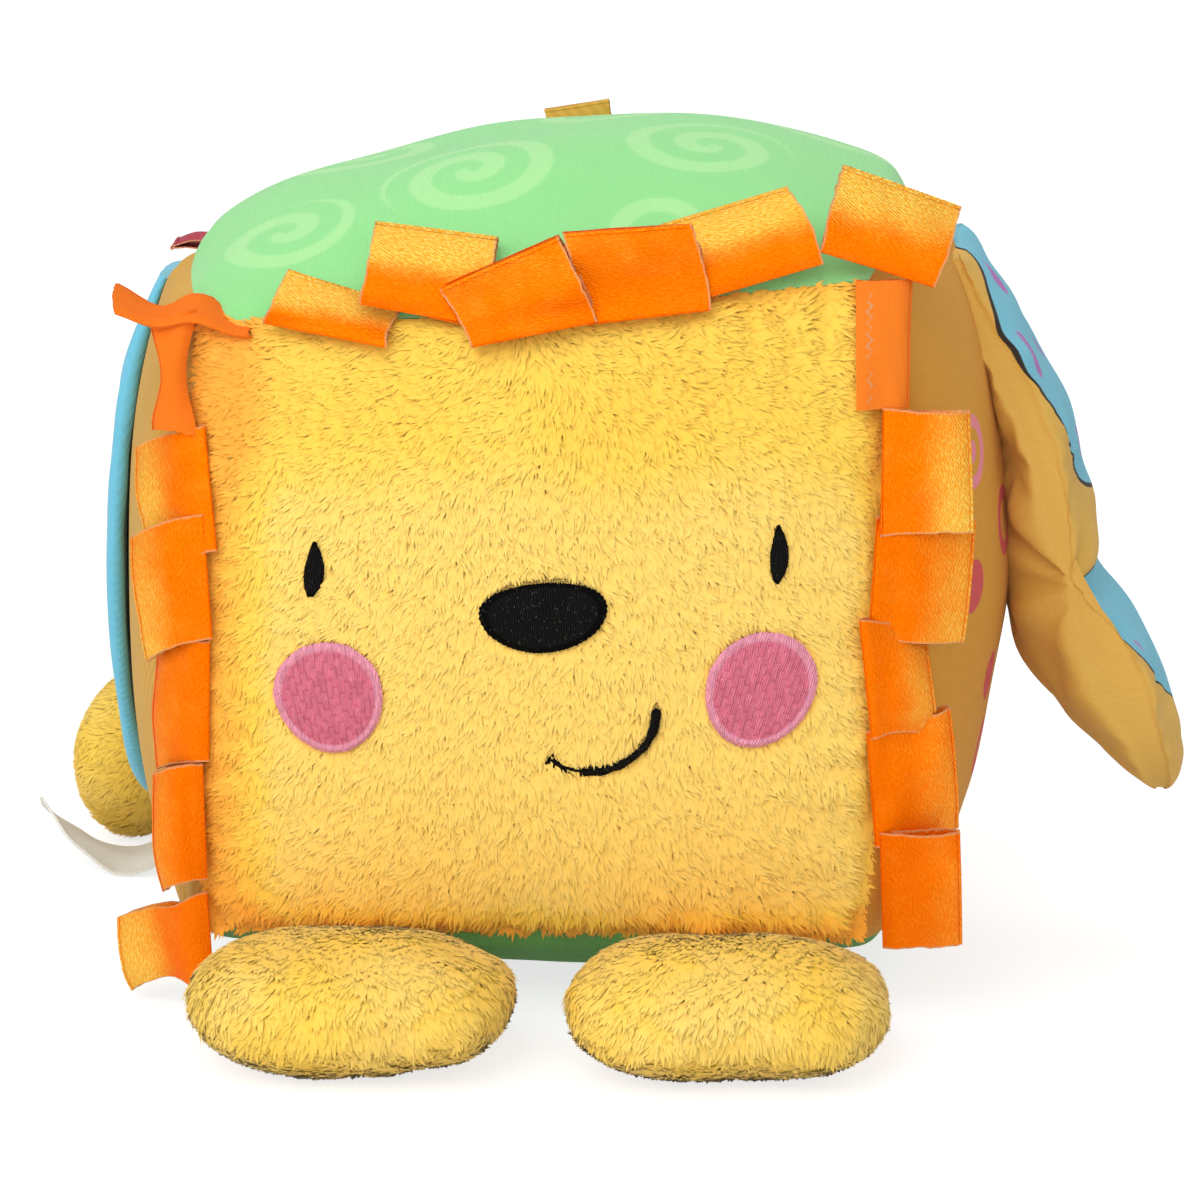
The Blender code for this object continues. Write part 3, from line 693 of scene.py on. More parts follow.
@dataclass(frozen=True)
class BlockForm:
    """The outside of the stuffed block: a cube whose seams bow and whose panels swell."""

    half: tuple[float, float, float] = (0.066, 0.066, 0.068)
    low_crowns: tuple[float, float, float] = (0.0220, 0.0140, 0.0180)
    high_crowns: tuple[float, float, float] = (0.0280, 0.0240, 0.0275)
    fullness: float = 0.75
    bows: tuple[float, float, float] = (0.0035, 0.0080, 0.0040)
    hem_lift: float = 0.0055
    brow_dip: float = 0.0050
    left_front_drop: float = 0.010
    right_rear_drop: float = 0.0055
    left_rear_drop: float = 0.022
    middle: float = 0.0855

    def cube(self, side: Side, flat: Array) -> Array:
        """Returns cube coordinates for places on one side.

        Args:
            side: The side.
            flat: Two numbers from -1 to 1 for each place, along the side's other two axes.

        Returns:
            Three numbers for each place.
        """
        axis, end = side.value
        out = np.empty((len(flat), 3))
        out[:, axis] = end
        out[:, [i for i in range(3) if i != axis]] = flat
        return out

    def points(self, cube: Array) -> Array:
        """Returns the places in metres of cube coordinates, each with one at an end."""
        squares = cube**2
        out = np.zeros_like(cube)
        out[:, 2] = self.middle
        for axis in range(3):
            here, second, third = cube[:, axis], squares[:, axis - 1], squares[:, axis - 2]
            bow = self.bows[axis - 2] * second * (1 - third) + self.bows[axis - 1] * third * (1 - second)
            crown = np.where(here > 0, self.high_crowns[axis], self.low_crowns[axis])
            swell = crown * np.maximum(0, (1 - second) * (1 - third)) ** self.fullness
            out[:, axis] += here * (self.half[axis] + bow + (np.abs(here) > 1 - 1e-9) * swell)
        a, b, c = cube.T
        at_front = np.maximum(0, -b) ** 2 * (1 - a * a)
        out[:, 2] += at_front * (self.hem_lift * np.maximum(0, -c) ** 2 - self.brow_dip * np.maximum(0, c) ** 2)
        front = (1 - b) / 2
        drop = self.left_front_drop * front + self.left_rear_drop * (1 - front)
        out[:, 2] -= drop * (1 - a) / 2 * (1 + c) / 2
        out[:, 2] -= self.right_rear_drop * (1 - front) * np.maximum(0, a) ** 3 * np.maximum(0, c) ** 3
        return out

    def outward(self, cube: Array) -> Array:
        """Returns the directions away from the middle of the block."""
        return unit(self.points(cube) - (0, 0, self.middle))

    def normals(self, cube: Array, side: Side) -> Array:
        """Returns the directions straight out of one side."""
        slopes = []
        for axis in (i for i in range(3) if i != side.value[0]):
            ahead, behind = cube.copy(), cube.copy()
            ahead[:, axis] = np.minimum(ahead[:, axis] + 0.004, 1)
            behind[:, axis] = np.maximum(behind[:, axis] - 0.004, -1)
            slopes.append(self.points(ahead) - self.points(behind))
        out = unit(np.cross(*slopes))
        return out * np.sign((out * self.outward(cube)).sum(axis=1, keepdims=True))

    def place(self, *cube: float) -> Array:
        """Returns the place of one point."""
        return self.points(np.array([cube], float))[0]

    def face_spot(self, places: Array) -> Array:
        """Returns the face's own coordinates, from -1 to 1 each way, under places near it."""
        half = np.array([self.half[0], self.half[2]])
        goal = places[:, [0, 2]]
        spot = (goal - (0, self.middle)) / half
        for _ in range(6):
            found = self.points(self.cube(Side.FACE, np.clip(spot, -1, 1)))[:, [0, 2]]
            spot = np.clip(spot + (goal - found) / half, -1.2, 1.2)
        return np.clip(spot, -1, 1)

    def seam_direction(self, cube: tuple[float, float, float], axis: int) -> Array:
        """Returns the direction of a seam at one point, along an axis."""
        ends = []
        for step in (-0.004, 0.004):
            moved = list(cube)
            moved[axis] += step
            ends.append(self.place(*moved))
        return unit(ends[1] - ends[0])


BLOCK = BlockForm()
RIGHT, REAR, UP = np.eye(3)


def turned(direction: Array, axis: Array, degrees: float) -> Array:
    """Returns a direction turned about an axis."""
    return np.array(Matrix.Rotation(math.radians(degrees), 3, Vector(axis)) @ Vector(direction))


def face_outwards(piece: Piece, outward: Array) -> None:
    """Flips an open sheet's faces if most of them look against the outward direction of its vertices."""
    normals = np.empty(len(piece.data.vertices) * 3)
    piece.data.vertices.foreach_get("normal", normals)
    if (normals.reshape(-1, 3) * outward).sum() < 0:
        piece.data.flip_normals()


@dataclass(frozen=True)
class Pile:
    """Plush pile: tapered tufts that grow out of a backing and lean with its nap."""

    seed: int
    nap: Callable
    length: float = 0.0046
    width: float = 0.00085
    rise: float = 0.42
    unevenness: float = 0.25
    clump: float = 0.0050
    evenness: float = 5.0

    def roots(self, backing: Piece, count: int, rng: np.random.Generator) -> tuple[Array, Array]:
        """Spreads roots evenly over the backing.

        Args:
            backing: The piece that the pile grows from.
            count: How many roots.
            rng: The source of chance.

        Returns:
            The roots, and the directions out of the backing there.
        """
        mesh = backing.data
        mesh.calc_loop_triangles()
        triangles = np.empty(len(mesh.loop_triangles) * 3, np.int32)
        mesh.loop_triangles.foreach_get("vertices", triangles)
        triangles = triangles.reshape(-1, 3)
        places = corners_of(backing)
        normals = np.empty(len(places) * 3)
        mesh.vertices.foreach_get("normal", normals)
        normals = normals.reshape(-1, 3)
        a, b, c = (places[triangles[:, i]] for i in range(3))
        areas = np.cumsum(np.linalg.norm(np.cross(b - a, c - a), axis=1))
        steps = (np.arange(count) + rng.random(count)) / count * areas[-1]
        chosen = np.minimum(np.searchsorted(areas, steps), len(triangles) - 1)
        first, second = rng.random((2, count, 1))
        over = first + second > 1
        first, second = np.where(over, 1 - first, first), np.where(over, 1 - second, second)
        shares = (1 - first - second, first, second)
        root = sum(share * places[triangles[chosen, i]] for i, share in enumerate(shares))
        out = unit(sum(share * normals[triangles[chosen, i]] for i, share in enumerate(shares)))
        return root, out

    def grow(self, name: str, backing: Piece, count: int, tint_and_painted_light: Callable, trim: Callable | None = None) -> Piece:
        """Grows the pile as one piece.

        Args:
            name: The new piece's name.
            backing: The piece that it grows from.
            count: How many tufts.
            tint_and_painted_light: Gives how orange the pile is at each root, by its tint and painted light, from 0 to
                1.
            trim: Gives the share of its length that each tuft keeps, from its root and its tip.

        Returns:
            The new piece.
        """
        rng = np.random.default_rng(self.seed)
        root, out = self.roots(backing, count, rng)
        flow = self.nap(root)
        flow = unit(flow - out * (flow * out).sum(axis=1, keepdims=True))
        sideways = np.cross(out, flow)
        swirl = 0.65 * Ripple(self.seed + 1, self.clump).at(root) + 0.12 * rng.normal(size=count)
        flow = unit(flow + sideways * swirl[:, None])
        flatness = 0.80 + 0.12 * Ripple(self.seed + 2, self.clump * 1.4).at(root) + 0.07 * rng.normal(size=count)
        flatness = np.clip(flatness, 0.3, 1.1)[:, None]
        # Tufts in the valleys between clumps are shorter, and more orange as painted shade in the creases.
        valley = ease(-Ripple(self.seed + 3, self.clump).at(root) - 0.35)
        length = self.length * (1 + self.unevenness * rng.uniform(-1, 1, count)) * (1 - 0.30 * valley)
        length = length[:, None]
        if trim is not None:
            length = length * trim(root, flow * flatness * length)[:, None]
            kept = length[:, 0] > self.length * 0.12
            root, out, flow, flatness, length, valley = (
                part[kept] for part in (root, out, flow, flatness, length, valley)
            )
        return self.mesh(name, rng, root, out, flow, flatness, length, tint_and_painted_light(root) + 0.16 * valley)

    def mesh(self, name: str, rng: np.random.Generator, *strands: Array) -> Piece:
        """Makes the mesh of the tufts, each a closed curved spike.

        Args:
            name: The piece's name.
            rng: The source of chance.
            strands: Roots, directions out, nap directions, flatness, lengths and how orange each is, by tint and
                painted light.

        Returns:
            The new piece.
        """
        root, out, flow, flatness, length, orange_and_painted_light = strands
        count = len(root)
        side = unit(np.cross(flow, out))
        width = self.width * rng.uniform(0.7, 1.3, (count, 1))
        rings, looks = [], []
        for share, wide in ((0.0, 0.9), (0.5, 1.0), (1.0, 0.0)):
            rise = self.rise * (0.95 * share - 0.25 * share * share) * (1.25 - 0.6 * flatness)
            reach = (0.25 * share + 0.75 * share * share) * flatness
            middle = root + length * (out * rise + flow * reach)
            middle[:, 2] = np.maximum(middle[:, 2], 0.0003)
            if not wide:
                rings.append(middle[:, None])
                looks.append(out[:, None])
                continue
            for angle in (90, 210, 330):
                across = math.cos(math.radians(angle)) * side + math.sin(math.radians(angle)) * 0.35 * out
                rings.append((middle + across * width * wide / 2)[:, None])
                looks.append(unit(out * self.evenness + across)[:, None])
        points = np.concatenate(rings, axis=1).reshape(-1, 3)
        points[:, 2] = np.maximum(points[:, 2], 0.0002)
        spike = [(0, 1, 2)]
        for here, after in ((0, 1), (1, 2), (2, 0)):
            spike += [(here, after + 3, after), (here, here + 3, after + 3), (here + 3, 6, after + 3)]
        faces = (np.array(spike)[None] + 7 * np.arange(count)[:, None, None]).reshape(-1, 3)
        mesh = bpy.data.meshes.new(name)
        mesh.vertices.add(len(points))
        mesh.loops.add(faces.size)
        mesh.polygons.add(len(faces))
        mesh.vertices.foreach_set("co", points.astype(np.float32).ravel())
        mesh.loops.foreach_set("vertex_index", faces.astype(np.int32).ravel())
        mesh.polygons.foreach_set("loop_start", np.arange(0, faces.size, 3, dtype=np.int32))
        mesh.update(calc_edges=True)
        mesh.shade_smooth()
        mesh.normals_split_custom_set_from_vertices(np.concatenate(looks, axis=1).reshape(-1, 3))
        piece = bpy.data.objects.new(name, mesh)
        bpy.context.scene.collection.objects.link(piece)
        shade = np.clip(0.6 + 0.2 * rng.normal(size=count), 0, 1)
        note(piece, "pile_height", np.tile([0, 0, 0, 0.5, 0.5, 0.5, 1], count))
        note(piece, "pile_shade", np.repeat(shade, 7))
        note(piece, "pile_tint_and_painted_light", np.repeat(np.clip(orange_and_painted_light, 0, 1), 7))
        return piece


@dataclass
class Cover:
    """The block's six panels, sewn edge to edge over the stuffing."""

    cells: int = 96
    seam_depth: float = 0.0014
    seam_reach: float = 0.0030
    pucker: float = 0.00075
    pucker_reach: float = 0.0085
    fold: float = 0.0009
    cloth_thickness: float = 0.0012
    pile_depth: float = 0.0010
    floor: float = 0.0002
    slack: float = -0.0014
    cut: tuple[float, float] = (0.136, 0.140)

    def sheet(self, name: str, side: Side, sunk: float = 0.0, fold: float | None = None) -> Piece:
        """Makes one panel as an open sheet with its seam valleys, puckers and soft folds.

        Args:
            name: The panel's name.
            side: The side of the block that it covers.
            sunk: How far it lies under the block's surface, for pile to grow back out.
            fold: How deep its soft folds are.

        Returns:
            The panel.
        """
        piece = flat_grid(name, self.cells, self.cells)
        flat = corners_of(piece)[:, :2]
        flat = 0.45 * flat + 0.55 * np.sin(math.pi / 2 * flat)
        cube = BLOCK.cube(side, flat)
        axes = [i for i in range(3) if i != side.value[0]]
        sizes = np.array([BLOCK.half[i] for i in axes])
        to_seams = (1 - np.abs(flat)) * sizes
        near = to_seams.min(axis=1)
        across = np.where(to_seams[:, 0] < to_seams[:, 1], flat[:, 1] * sizes[1], flat[:, 0] * sizes[0])
        seed = 11 * (1 + side.value[0]) + side.value[1]
        gathers = Ripple(seed, 0.0085).at(np.stack([across, near * 0.3, near * 0], axis=1))
        height = -self.seam_depth * np.exp(-((near / self.seam_reach) ** 2))
        height += self.pucker * gathers * np.exp(-near / self.pucker_reach) * (1 - np.exp(-near / 0.0015))
        points = BLOCK.points(cube)
        soft = self.fold if fold is None else fold
        height += soft * (Ripple(seed + 5, 0.055).at(points) - 0.8) * (1 - np.exp(-near / 0.012))
        height -= sunk * (1 - 0.55 * np.exp(-near / 0.002))
        if side is Side.RIGHT:
            below_top = np.clip(2.5 * (1 - cube[:, 2]), 0, 1) * ease(cube[:, 2] + 0.8)
            height -= self.slack * (1 - cube[:, 1] ** 2) * below_top
        blend = np.exp(-((near / 0.004) ** 2))[:, None]
        outward = unit(BLOCK.normals(cube, side) * (1 - blend) + BLOCK.outward(cube) * blend)
        points = points + outward * height[:, None]
        points[:, 2] = np.maximum(points[:, 2], self.floor)
        move_corners(piece, points)
        face_outwards(piece, outward)
        lay_cloth(piece, flat * sizes)
        return piece

    def thicken(self, piece: Piece) -> None:
        """Gives a panel the thickness of its cloth, inwards."""
        finish_with(piece, "SOLIDIFY", thickness=self.cloth_thickness, offset=-1)
        smooth(piece)

    def panel(
        self, name: str, side: Side, finish: ClothFinish, slot: Slot, node: str, fold: float | None = None
    ) -> None:
        """Makes and dresses one cloth panel.

        Args:
            name: The panel's name.
            side: The side of the block that it covers.
            finish: Its cloth.
            slot: The slot of that cloth.
            node: The CAD node that it replaces.
            fold: How deep its soft folds are.
        """
        piece = self.sheet(name, side, fold=fold)
        self.thicken(piece)
        dress(piece, finish.material(), slot, "block", node)

    def stuffing(self) -> None:
        """Makes the stuffing inside the cover."""
        deselect_all()
        bpy.ops.mesh.primitive_cube_add(size=2)
        piece = bpy.context.object
        piece.name = "stuffing_form"
        bpy.ops.object.mode_set(mode="EDIT")
        bpy.ops.mesh.select_all(action="SELECT")
        bpy.ops.mesh.subdivide(number_cuts=23)
        bpy.ops.object.mode_set(mode="OBJECT")
        cube = np.round(np.sin(math.pi / 2 * corners_of(piece)), 6)
        inner = (BLOCK.points(cube) - (0, 0, BLOCK.middle)) * 0.93
        inner += BLOCK.outward(cube) * 0.0006 * Ripple(3, 0.03).at(inner)[:, None]
        move_corners(piece, inner + (0, 0, BLOCK.middle))
        smooth(piece)
        dress(piece, FIBRE.material(), Slot.FIBRE, "block", "core_stuffing")

    def build(self) -> Piece:
        """Makes all six panels.

        Returns:
            The face's backing, still an open sheet.
        """
        self.stuffing()
        for panel in (
            ("top_cover", Side.TOP, GREEN_PRINT, Slot.GREEN, "top_panel", 0.0013),
            ("bottom_cover", Side.BOTTOM, GREEN_PAINTED_SHADE, Slot.GREEN, "bottom_panel", 0.0004),
            ("back_cover", Side.BACK, YELLOW_PLAIN, Slot.YELLOW, "back_panel"),
            ("left_cover", Side.LEFT, YELLOW_TWILL, Slot.YELLOW, "left_side_panel", 0.0005),
            ("right_cover", Side.RIGHT, YELLOW_PRINT, Slot.YELLOW, "right_side_panel", 0.0005),
        ):
            self.panel(*panel)
        return self.sheet("face_backing", Side.FACE, sunk=self.pile_depth, fold=0.0003)


@dataclass(frozen=True)
class Patch:
    """A satin-stitched patch on the face, about a middle given from the middle of the features."""

    name: str
    x: float
    z: float
    width: float
    height: float
    slant: float = 0.0
    egg: float = 0.0
    flat_top: float = 0.0
    lean: float = 0.0
    taper: float = 0.0
    rim: float = 0.0
    fur: float = 0.05

    def outline(self, disc: Array) -> Array:
        """Returns where points of a disc of radius one lie on the face, across and up."""
        p, q = disc.T
        x = (p * (1 - self.taper * q * q) * (1 + self.egg * q) + self.lean * (1 - q * q)) * self.width / 2
        z = q * self.height / 2 * (1 - self.flat_top * np.maximum(q, 0))
        turn = math.radians(self.slant)
        right = self.x + x * math.cos(turn) - z * math.sin(turn)
        return np.stack([right, self.z + x * math.sin(turn) + z * math.cos(turn)], axis=1)

    def covers(self, flat: Array, margin: float) -> Array:
        """Tells which places on the face lie under the patch or within the margin of it.

        Args:
            flat: The places, across and up.
            margin: How far outside the patch still counts.

        Returns:
            Whether each place does.
        """
        turn = math.radians(self.slant)
        x, z = flat[:, 0] - self.x, flat[:, 1] - self.z
        x, z = x * math.cos(turn) + z * math.sin(turn), z * math.cos(turn) - x * math.sin(turn)
        q = np.clip(z / (self.height / 2 + margin), -1, 1)
        x = x - self.lean * (1 - q * q) * self.width / 2
        wide = self.width / 2 * (1 - self.taper * q * q) * (1 + self.egg * q) + margin
        return (x / wide) ** 2 + (z / (self.height / 2 + margin)) ** 2 < 1


@dataclass
class FaceStitching:
    """The eyes, nose, cheeks and smile, stitched on the plush face."""

    shift: float = 0.0024
    gap: float = 0.0001
    height: float = 0.0008
    base: float = 0.0014
    cells: int = 84
    tooth: float = 0.00095
    tooth_depth: float = 0.00022
    smile_radius: float = 0.0120
    smile_x: float = 0.0088
    smile_z: float = -0.0156
    smile_start: float = -132.0
    smile_end: float = 6.0
    sunk_start: float = 0.0007
    smile_thin: float = 0.0005
    smile_thick: float = 0.0021
    patches: tuple[Patch, ...] = (
        Patch("nose_stitching", 0, 0.0050, 0.0236, 0.0150, flat_top=0.14, egg=0.09, slant=2),
        Patch(
            "left_eye_stitching", -0.0430, 0.0152, 0.0038, 0.0118, taper=0.35, egg=-0.28, lean=0.25, slant=-3, fur=0.1
        ),
        Patch("right_eye_stitching", 0.0430, 0.0152, 0.0034, 0.0118, taper=0.35, egg=-0.2, lean=0.2, slant=-2, fur=0.3),
        Patch("left_cheek_stitching", -0.0400, -0.0118, 0.0204, 0.0236, slant=8, egg=0.08, rim=1.0, fur=0.04),
        Patch("right_cheek_stitching", 0.0400, -0.0118, 0.0204, 0.0236, slant=-14, egg=0.06, rim=1.0, fur=0.04),
    )

    def on_face(self, flat: Array, lift: Array) -> Array:
        """Returns places that stand off the face by lift."""
        spot = np.stack([(flat[:, 0] + self.shift) / BLOCK.half[0], flat[:, 1] / BLOCK.half[2]], axis=1)
        return BLOCK.points(BLOCK.cube(Side.FACE, spot)) - REAR * lift[:, None]

    def flat_place(self, places: Array) -> Array:
        """Returns where places near the face lie across and up from the middle of its features."""
        return BLOCK.face_spot(places) * (BLOCK.half[0], BLOCK.half[2]) - (self.shift, 0)

    def patch(self, patch: Patch) -> Piece:
        """Makes one patch: a low dome with a raised edge row and toothed rim."""
        piece = flat_grid(patch.name, self.cells, self.cells)
        u, v = corners_of(piece)[:, :2].T
        disc = np.stack([u * np.sqrt(1 - v * v / 2), v * np.sqrt(1 - u * u / 2)], axis=1)
        reach = np.hypot(*disc.T)
        angle = np.arctan2(disc[:, 1] * patch.height, disc[:, 0] * patch.width)
        teeth = round(math.pi * (patch.width + patch.height) / 2 / self.tooth)
        jag = np.abs(((angle * teeth / (2 * math.pi)) % 1) * 2 - 1) - 0.5
        jag = jag + 0.3 * Ripple(7, 0.3).at(np.stack([np.cos(angle), np.sin(angle), angle * 0], axis=1))
        disc = disc * (1 + reach**8 * jag * self.tooth_depth * 4 / (patch.width + patch.height))[:, None]
        flat = patch.outline(disc)
        dome = self.height * (1 - 0.75 * reach**6)
        edge_row = patch.rim * 0.0004 * np.exp(-(((reach - 0.93) / 0.05) ** 2))
        uneven = 0.00008 * Ripple(9, 0.004).at(np.stack([flat[:, 0], flat[:, 1], reach * 0], axis=1))
        points = self.on_face(flat, self.gap + dome + edge_row + uneven)
        move_corners(piece, points)
        face_outwards(piece, np.tile(-REAR, (len(points), 1)))
        lay_cloth(piece, disc * (patch.width / 2, patch.height / 2))
        note(piece, "reach", reach)
        finish_with(piece, "SOLIDIFY", thickness=self.base, offset=-1)
        smooth(piece)
        finish = PINK_STITCH if patch.rim else BLACK_STITCH
        slot = Slot.PINK_THREAD if patch.rim else Slot.BLACK_THREAD
        return dress(piece, finish.material(), slot, "block", patch.name.replace("_stitching", ""))

    def smile_width(self, share: Array) -> Array:
        """Returns how wide the smile is along its length."""
        full = self.smile_thin + (self.smile_thick - self.smile_thin) * share**1.5
        wobble = 1 + 0.25 * np.sin(share * 47) * (1 - 0.7 * share)
        return full * wobble * np.sqrt(np.clip(1 - (2 * share - 1) ** 18, 0, 1))

    def smile(self) -> Piece:
        """Makes the smile, an arc that thickens to the right."""
        piece = flat_grid("smile_stitching", 8, 150)
        u, v = corners_of(piece)[:, :2].T
        share = (v + 1) / 2
        angle = np.radians(self.smile_start + (self.smile_end - self.smile_start) * share)
        width = self.smile_width(share)
        jag = np.abs(((share * 40) % 1) * 2 - 1) - 0.5
        radius = self.smile_radius + u * (width + np.abs(u) * jag * self.tooth_depth) / 2
        flat = np.stack(
            [self.smile_x + radius * np.cos(angle), self.smile_z + radius * np.sin(angle)],
            axis=1,
        )
        lift = self.gap + self.height * (1 - 0.7 * u * u) - self.sunk_start * (1 - ease(share / 0.7))
        move_corners(piece, self.on_face(flat, lift))
        face_outwards(piece, np.tile(-REAR, (len(flat), 1)))
        lay_cloth(piece, np.stack([share * 0.03, u * width / 2], axis=1))
        note(piece, "reach", np.zeros(len(flat)))
        finish_with(piece, "SOLIDIFY", thickness=self.base, offset=-1)
        smooth(piece)
        return dress(piece, BLACK_STITCH.material(), Slot.BLACK_THREAD, "block", "smile")

    def over_smile(self, flat: Array, margin: float) -> Array:
        """Tells which places on the face lie over the smile.

        Args:
            flat: The places, across and up.
            margin: How far outside the smile still counts.

        Returns:
            Whether each place does.
        """
        right, up = flat[:, 0] - self.smile_x, flat[:, 1] - self.smile_z
        share = (np.degrees(np.arctan2(up, right)) - self.smile_start) / (self.smile_end - self.smile_start)
        off = np.abs(np.hypot(right, up) - self.smile_radius)
        return (share > -0.02) & (share < 1.02) & (off < self.smile_width(np.clip(share, 0.02, 0.98)) / 2 + margin)

    def trim(self, roots: Array, reaches: Array) -> Array:
        """Shortens the pile where it would hide the stitching or stand over the seams.

        Args:
            roots: The roots of the tufts.
            reaches: How far each tuft's tip lies from its root.

        Returns:
            The share of its length that each tuft keeps.
        """
        rng = np.random.default_rng(21)
        start = self.flat_place(roots)
        full = self.flat_place(roots + reaches) - start
        keep = np.ones(len(roots))
        stray = rng.random(len(roots))
        overlap = 0.0003 * rng.random(len(roots))
        by_patch = np.ones(len(roots))
        for share in (1.0, 0.85, 0.7, 0.55, 0.4, 0.25, 0.0):
            tips = start + full * share
            for patch in self.patches:
                over = patch.covers(tips, -0.0005) & (stray > patch.fur)
                by_patch[over & (by_patch >= share)] = max(share - 0.15, 0)
            over = self.over_smile(tips, 0.0) & (stray > 0.5 * np.clip((0.013 - start[:, 0]) / 0.012, 0.04, 1))
            by_patch[over & (by_patch >= share)] = max(share - 0.15, 0)
        keep = np.minimum(keep, by_patch + overlap)
        to_side = BLOCK.half[0] - np.abs(roots[:, 0])
        to_seam = np.minimum(to_side, BLOCK.half[2] - np.abs(roots[:, 2] - BLOCK.middle))
        return keep * (0.55 + 0.45 * ease(to_seam / 0.008))

    def build(self) -> None:
        """Makes all the stitching."""
        for patch in self.patches:
            self.patch(patch)
        self.smile()


@dataclass
class Face:
    """The plush face, its pile and its stitching."""

    tufts: int = 19600
    painted_light_edge: float = 0.012

    def nap(self, roots: Array) -> Array:
        """Returns which way the pile lies: down and outwards, sideways and up at the brow."""
        x, z = roots[:, 0], roots[:, 2] - BLOCK.middle
        brow = ease((z - 0.008) / 0.055)
        sideways = np.sin(x / BLOCK.half[0] * 1.4) * (0.75 + 1.0 * brow) + 0.22 * np.sin(z / 0.008 + x / 0.03)
        return np.stack([sideways, np.zeros(len(x)), -1 + 0.78 * brow], axis=1)

    def tint_and_painted_light(self, roots: Array) -> Array:
        """Returns how orange the pile is: painted reflection of the orange ribbons at the brow, near the top seam and
        at the side edges, most at the left, painted shade along the hem, and random blots.

        Args:
            roots: The roots of the tufts.

        Returns:
            How orange each is, about 0 to 1.
        """
        x, z = roots[:, 0], roots[:, 2] - BLOCK.middle
        # Painted reflection of the ribbons at the brow, edges and top seam; painted shade along the hem.
        brow = 0.46 * ease((z - 0.016 + 0.0001 * x) / 0.026)
        left = 0.95 * ease((-x - 0.045) / 0.018)
        right = 0.45 * ease((x - 0.058) / self.painted_light_edge)
        hem = 0.90 * ease((-z - 0.054) / self.painted_light_edge)
        seams = 0.25 * ease((z - 0.058) / 0.008)
        blots = 0.05 * Ripple(31, 0.03).at(roots)
        return brow + left + right + hem + seams + blots

    def build(self, cover: Cover, backing: Piece, stitching: FaceStitching) -> None:
        """Grows the pile in three layers and dresses the backing."""
        slot = Slot.PLUSH
        for index, (length, width) in enumerate(((0.0048, 0.00125), (0.0043, 0.00100), (0.0038, 0.00080))):
            pile = Pile(seed=41 + 10 * index, nap=self.nap, length=length, width=width)
            piece = pile.grow(f"face_pile_{index + 1}", backing, self.tufts, self.tint_and_painted_light, stitching.trim)
            dress(piece, PLUSH.material(), slot, "block")
        cover.thicken(backing)
        dress(backing, BACKING.material(), slot, "block", "face_panel")


@dataclass(frozen=True)
class TabLook:
    """How one ribbon tab stands: its place in the row and the way that it has been bent."""

    layer: int
    lean: float
    inset: float = 0.0
    tuck: float = 0.0
    waist: float = 0.0
    tilt: float = 0.0
    # glow: how strongly a painted golden highlight lies on the tab's outer part.
    glow: float = 0.0
    skew: float = 0.0
    slope: float = 0.0
    bow: float = 0.0
    cup: float = 0.0
    twist: float = 0.0
    wave: float = 0.0
    bulge: float = 0.0
    shift: float = 0.0
    root_wider: float = 1.0
    wider: float = 1.0
    longer: float = 1.0
    felt: bool = False


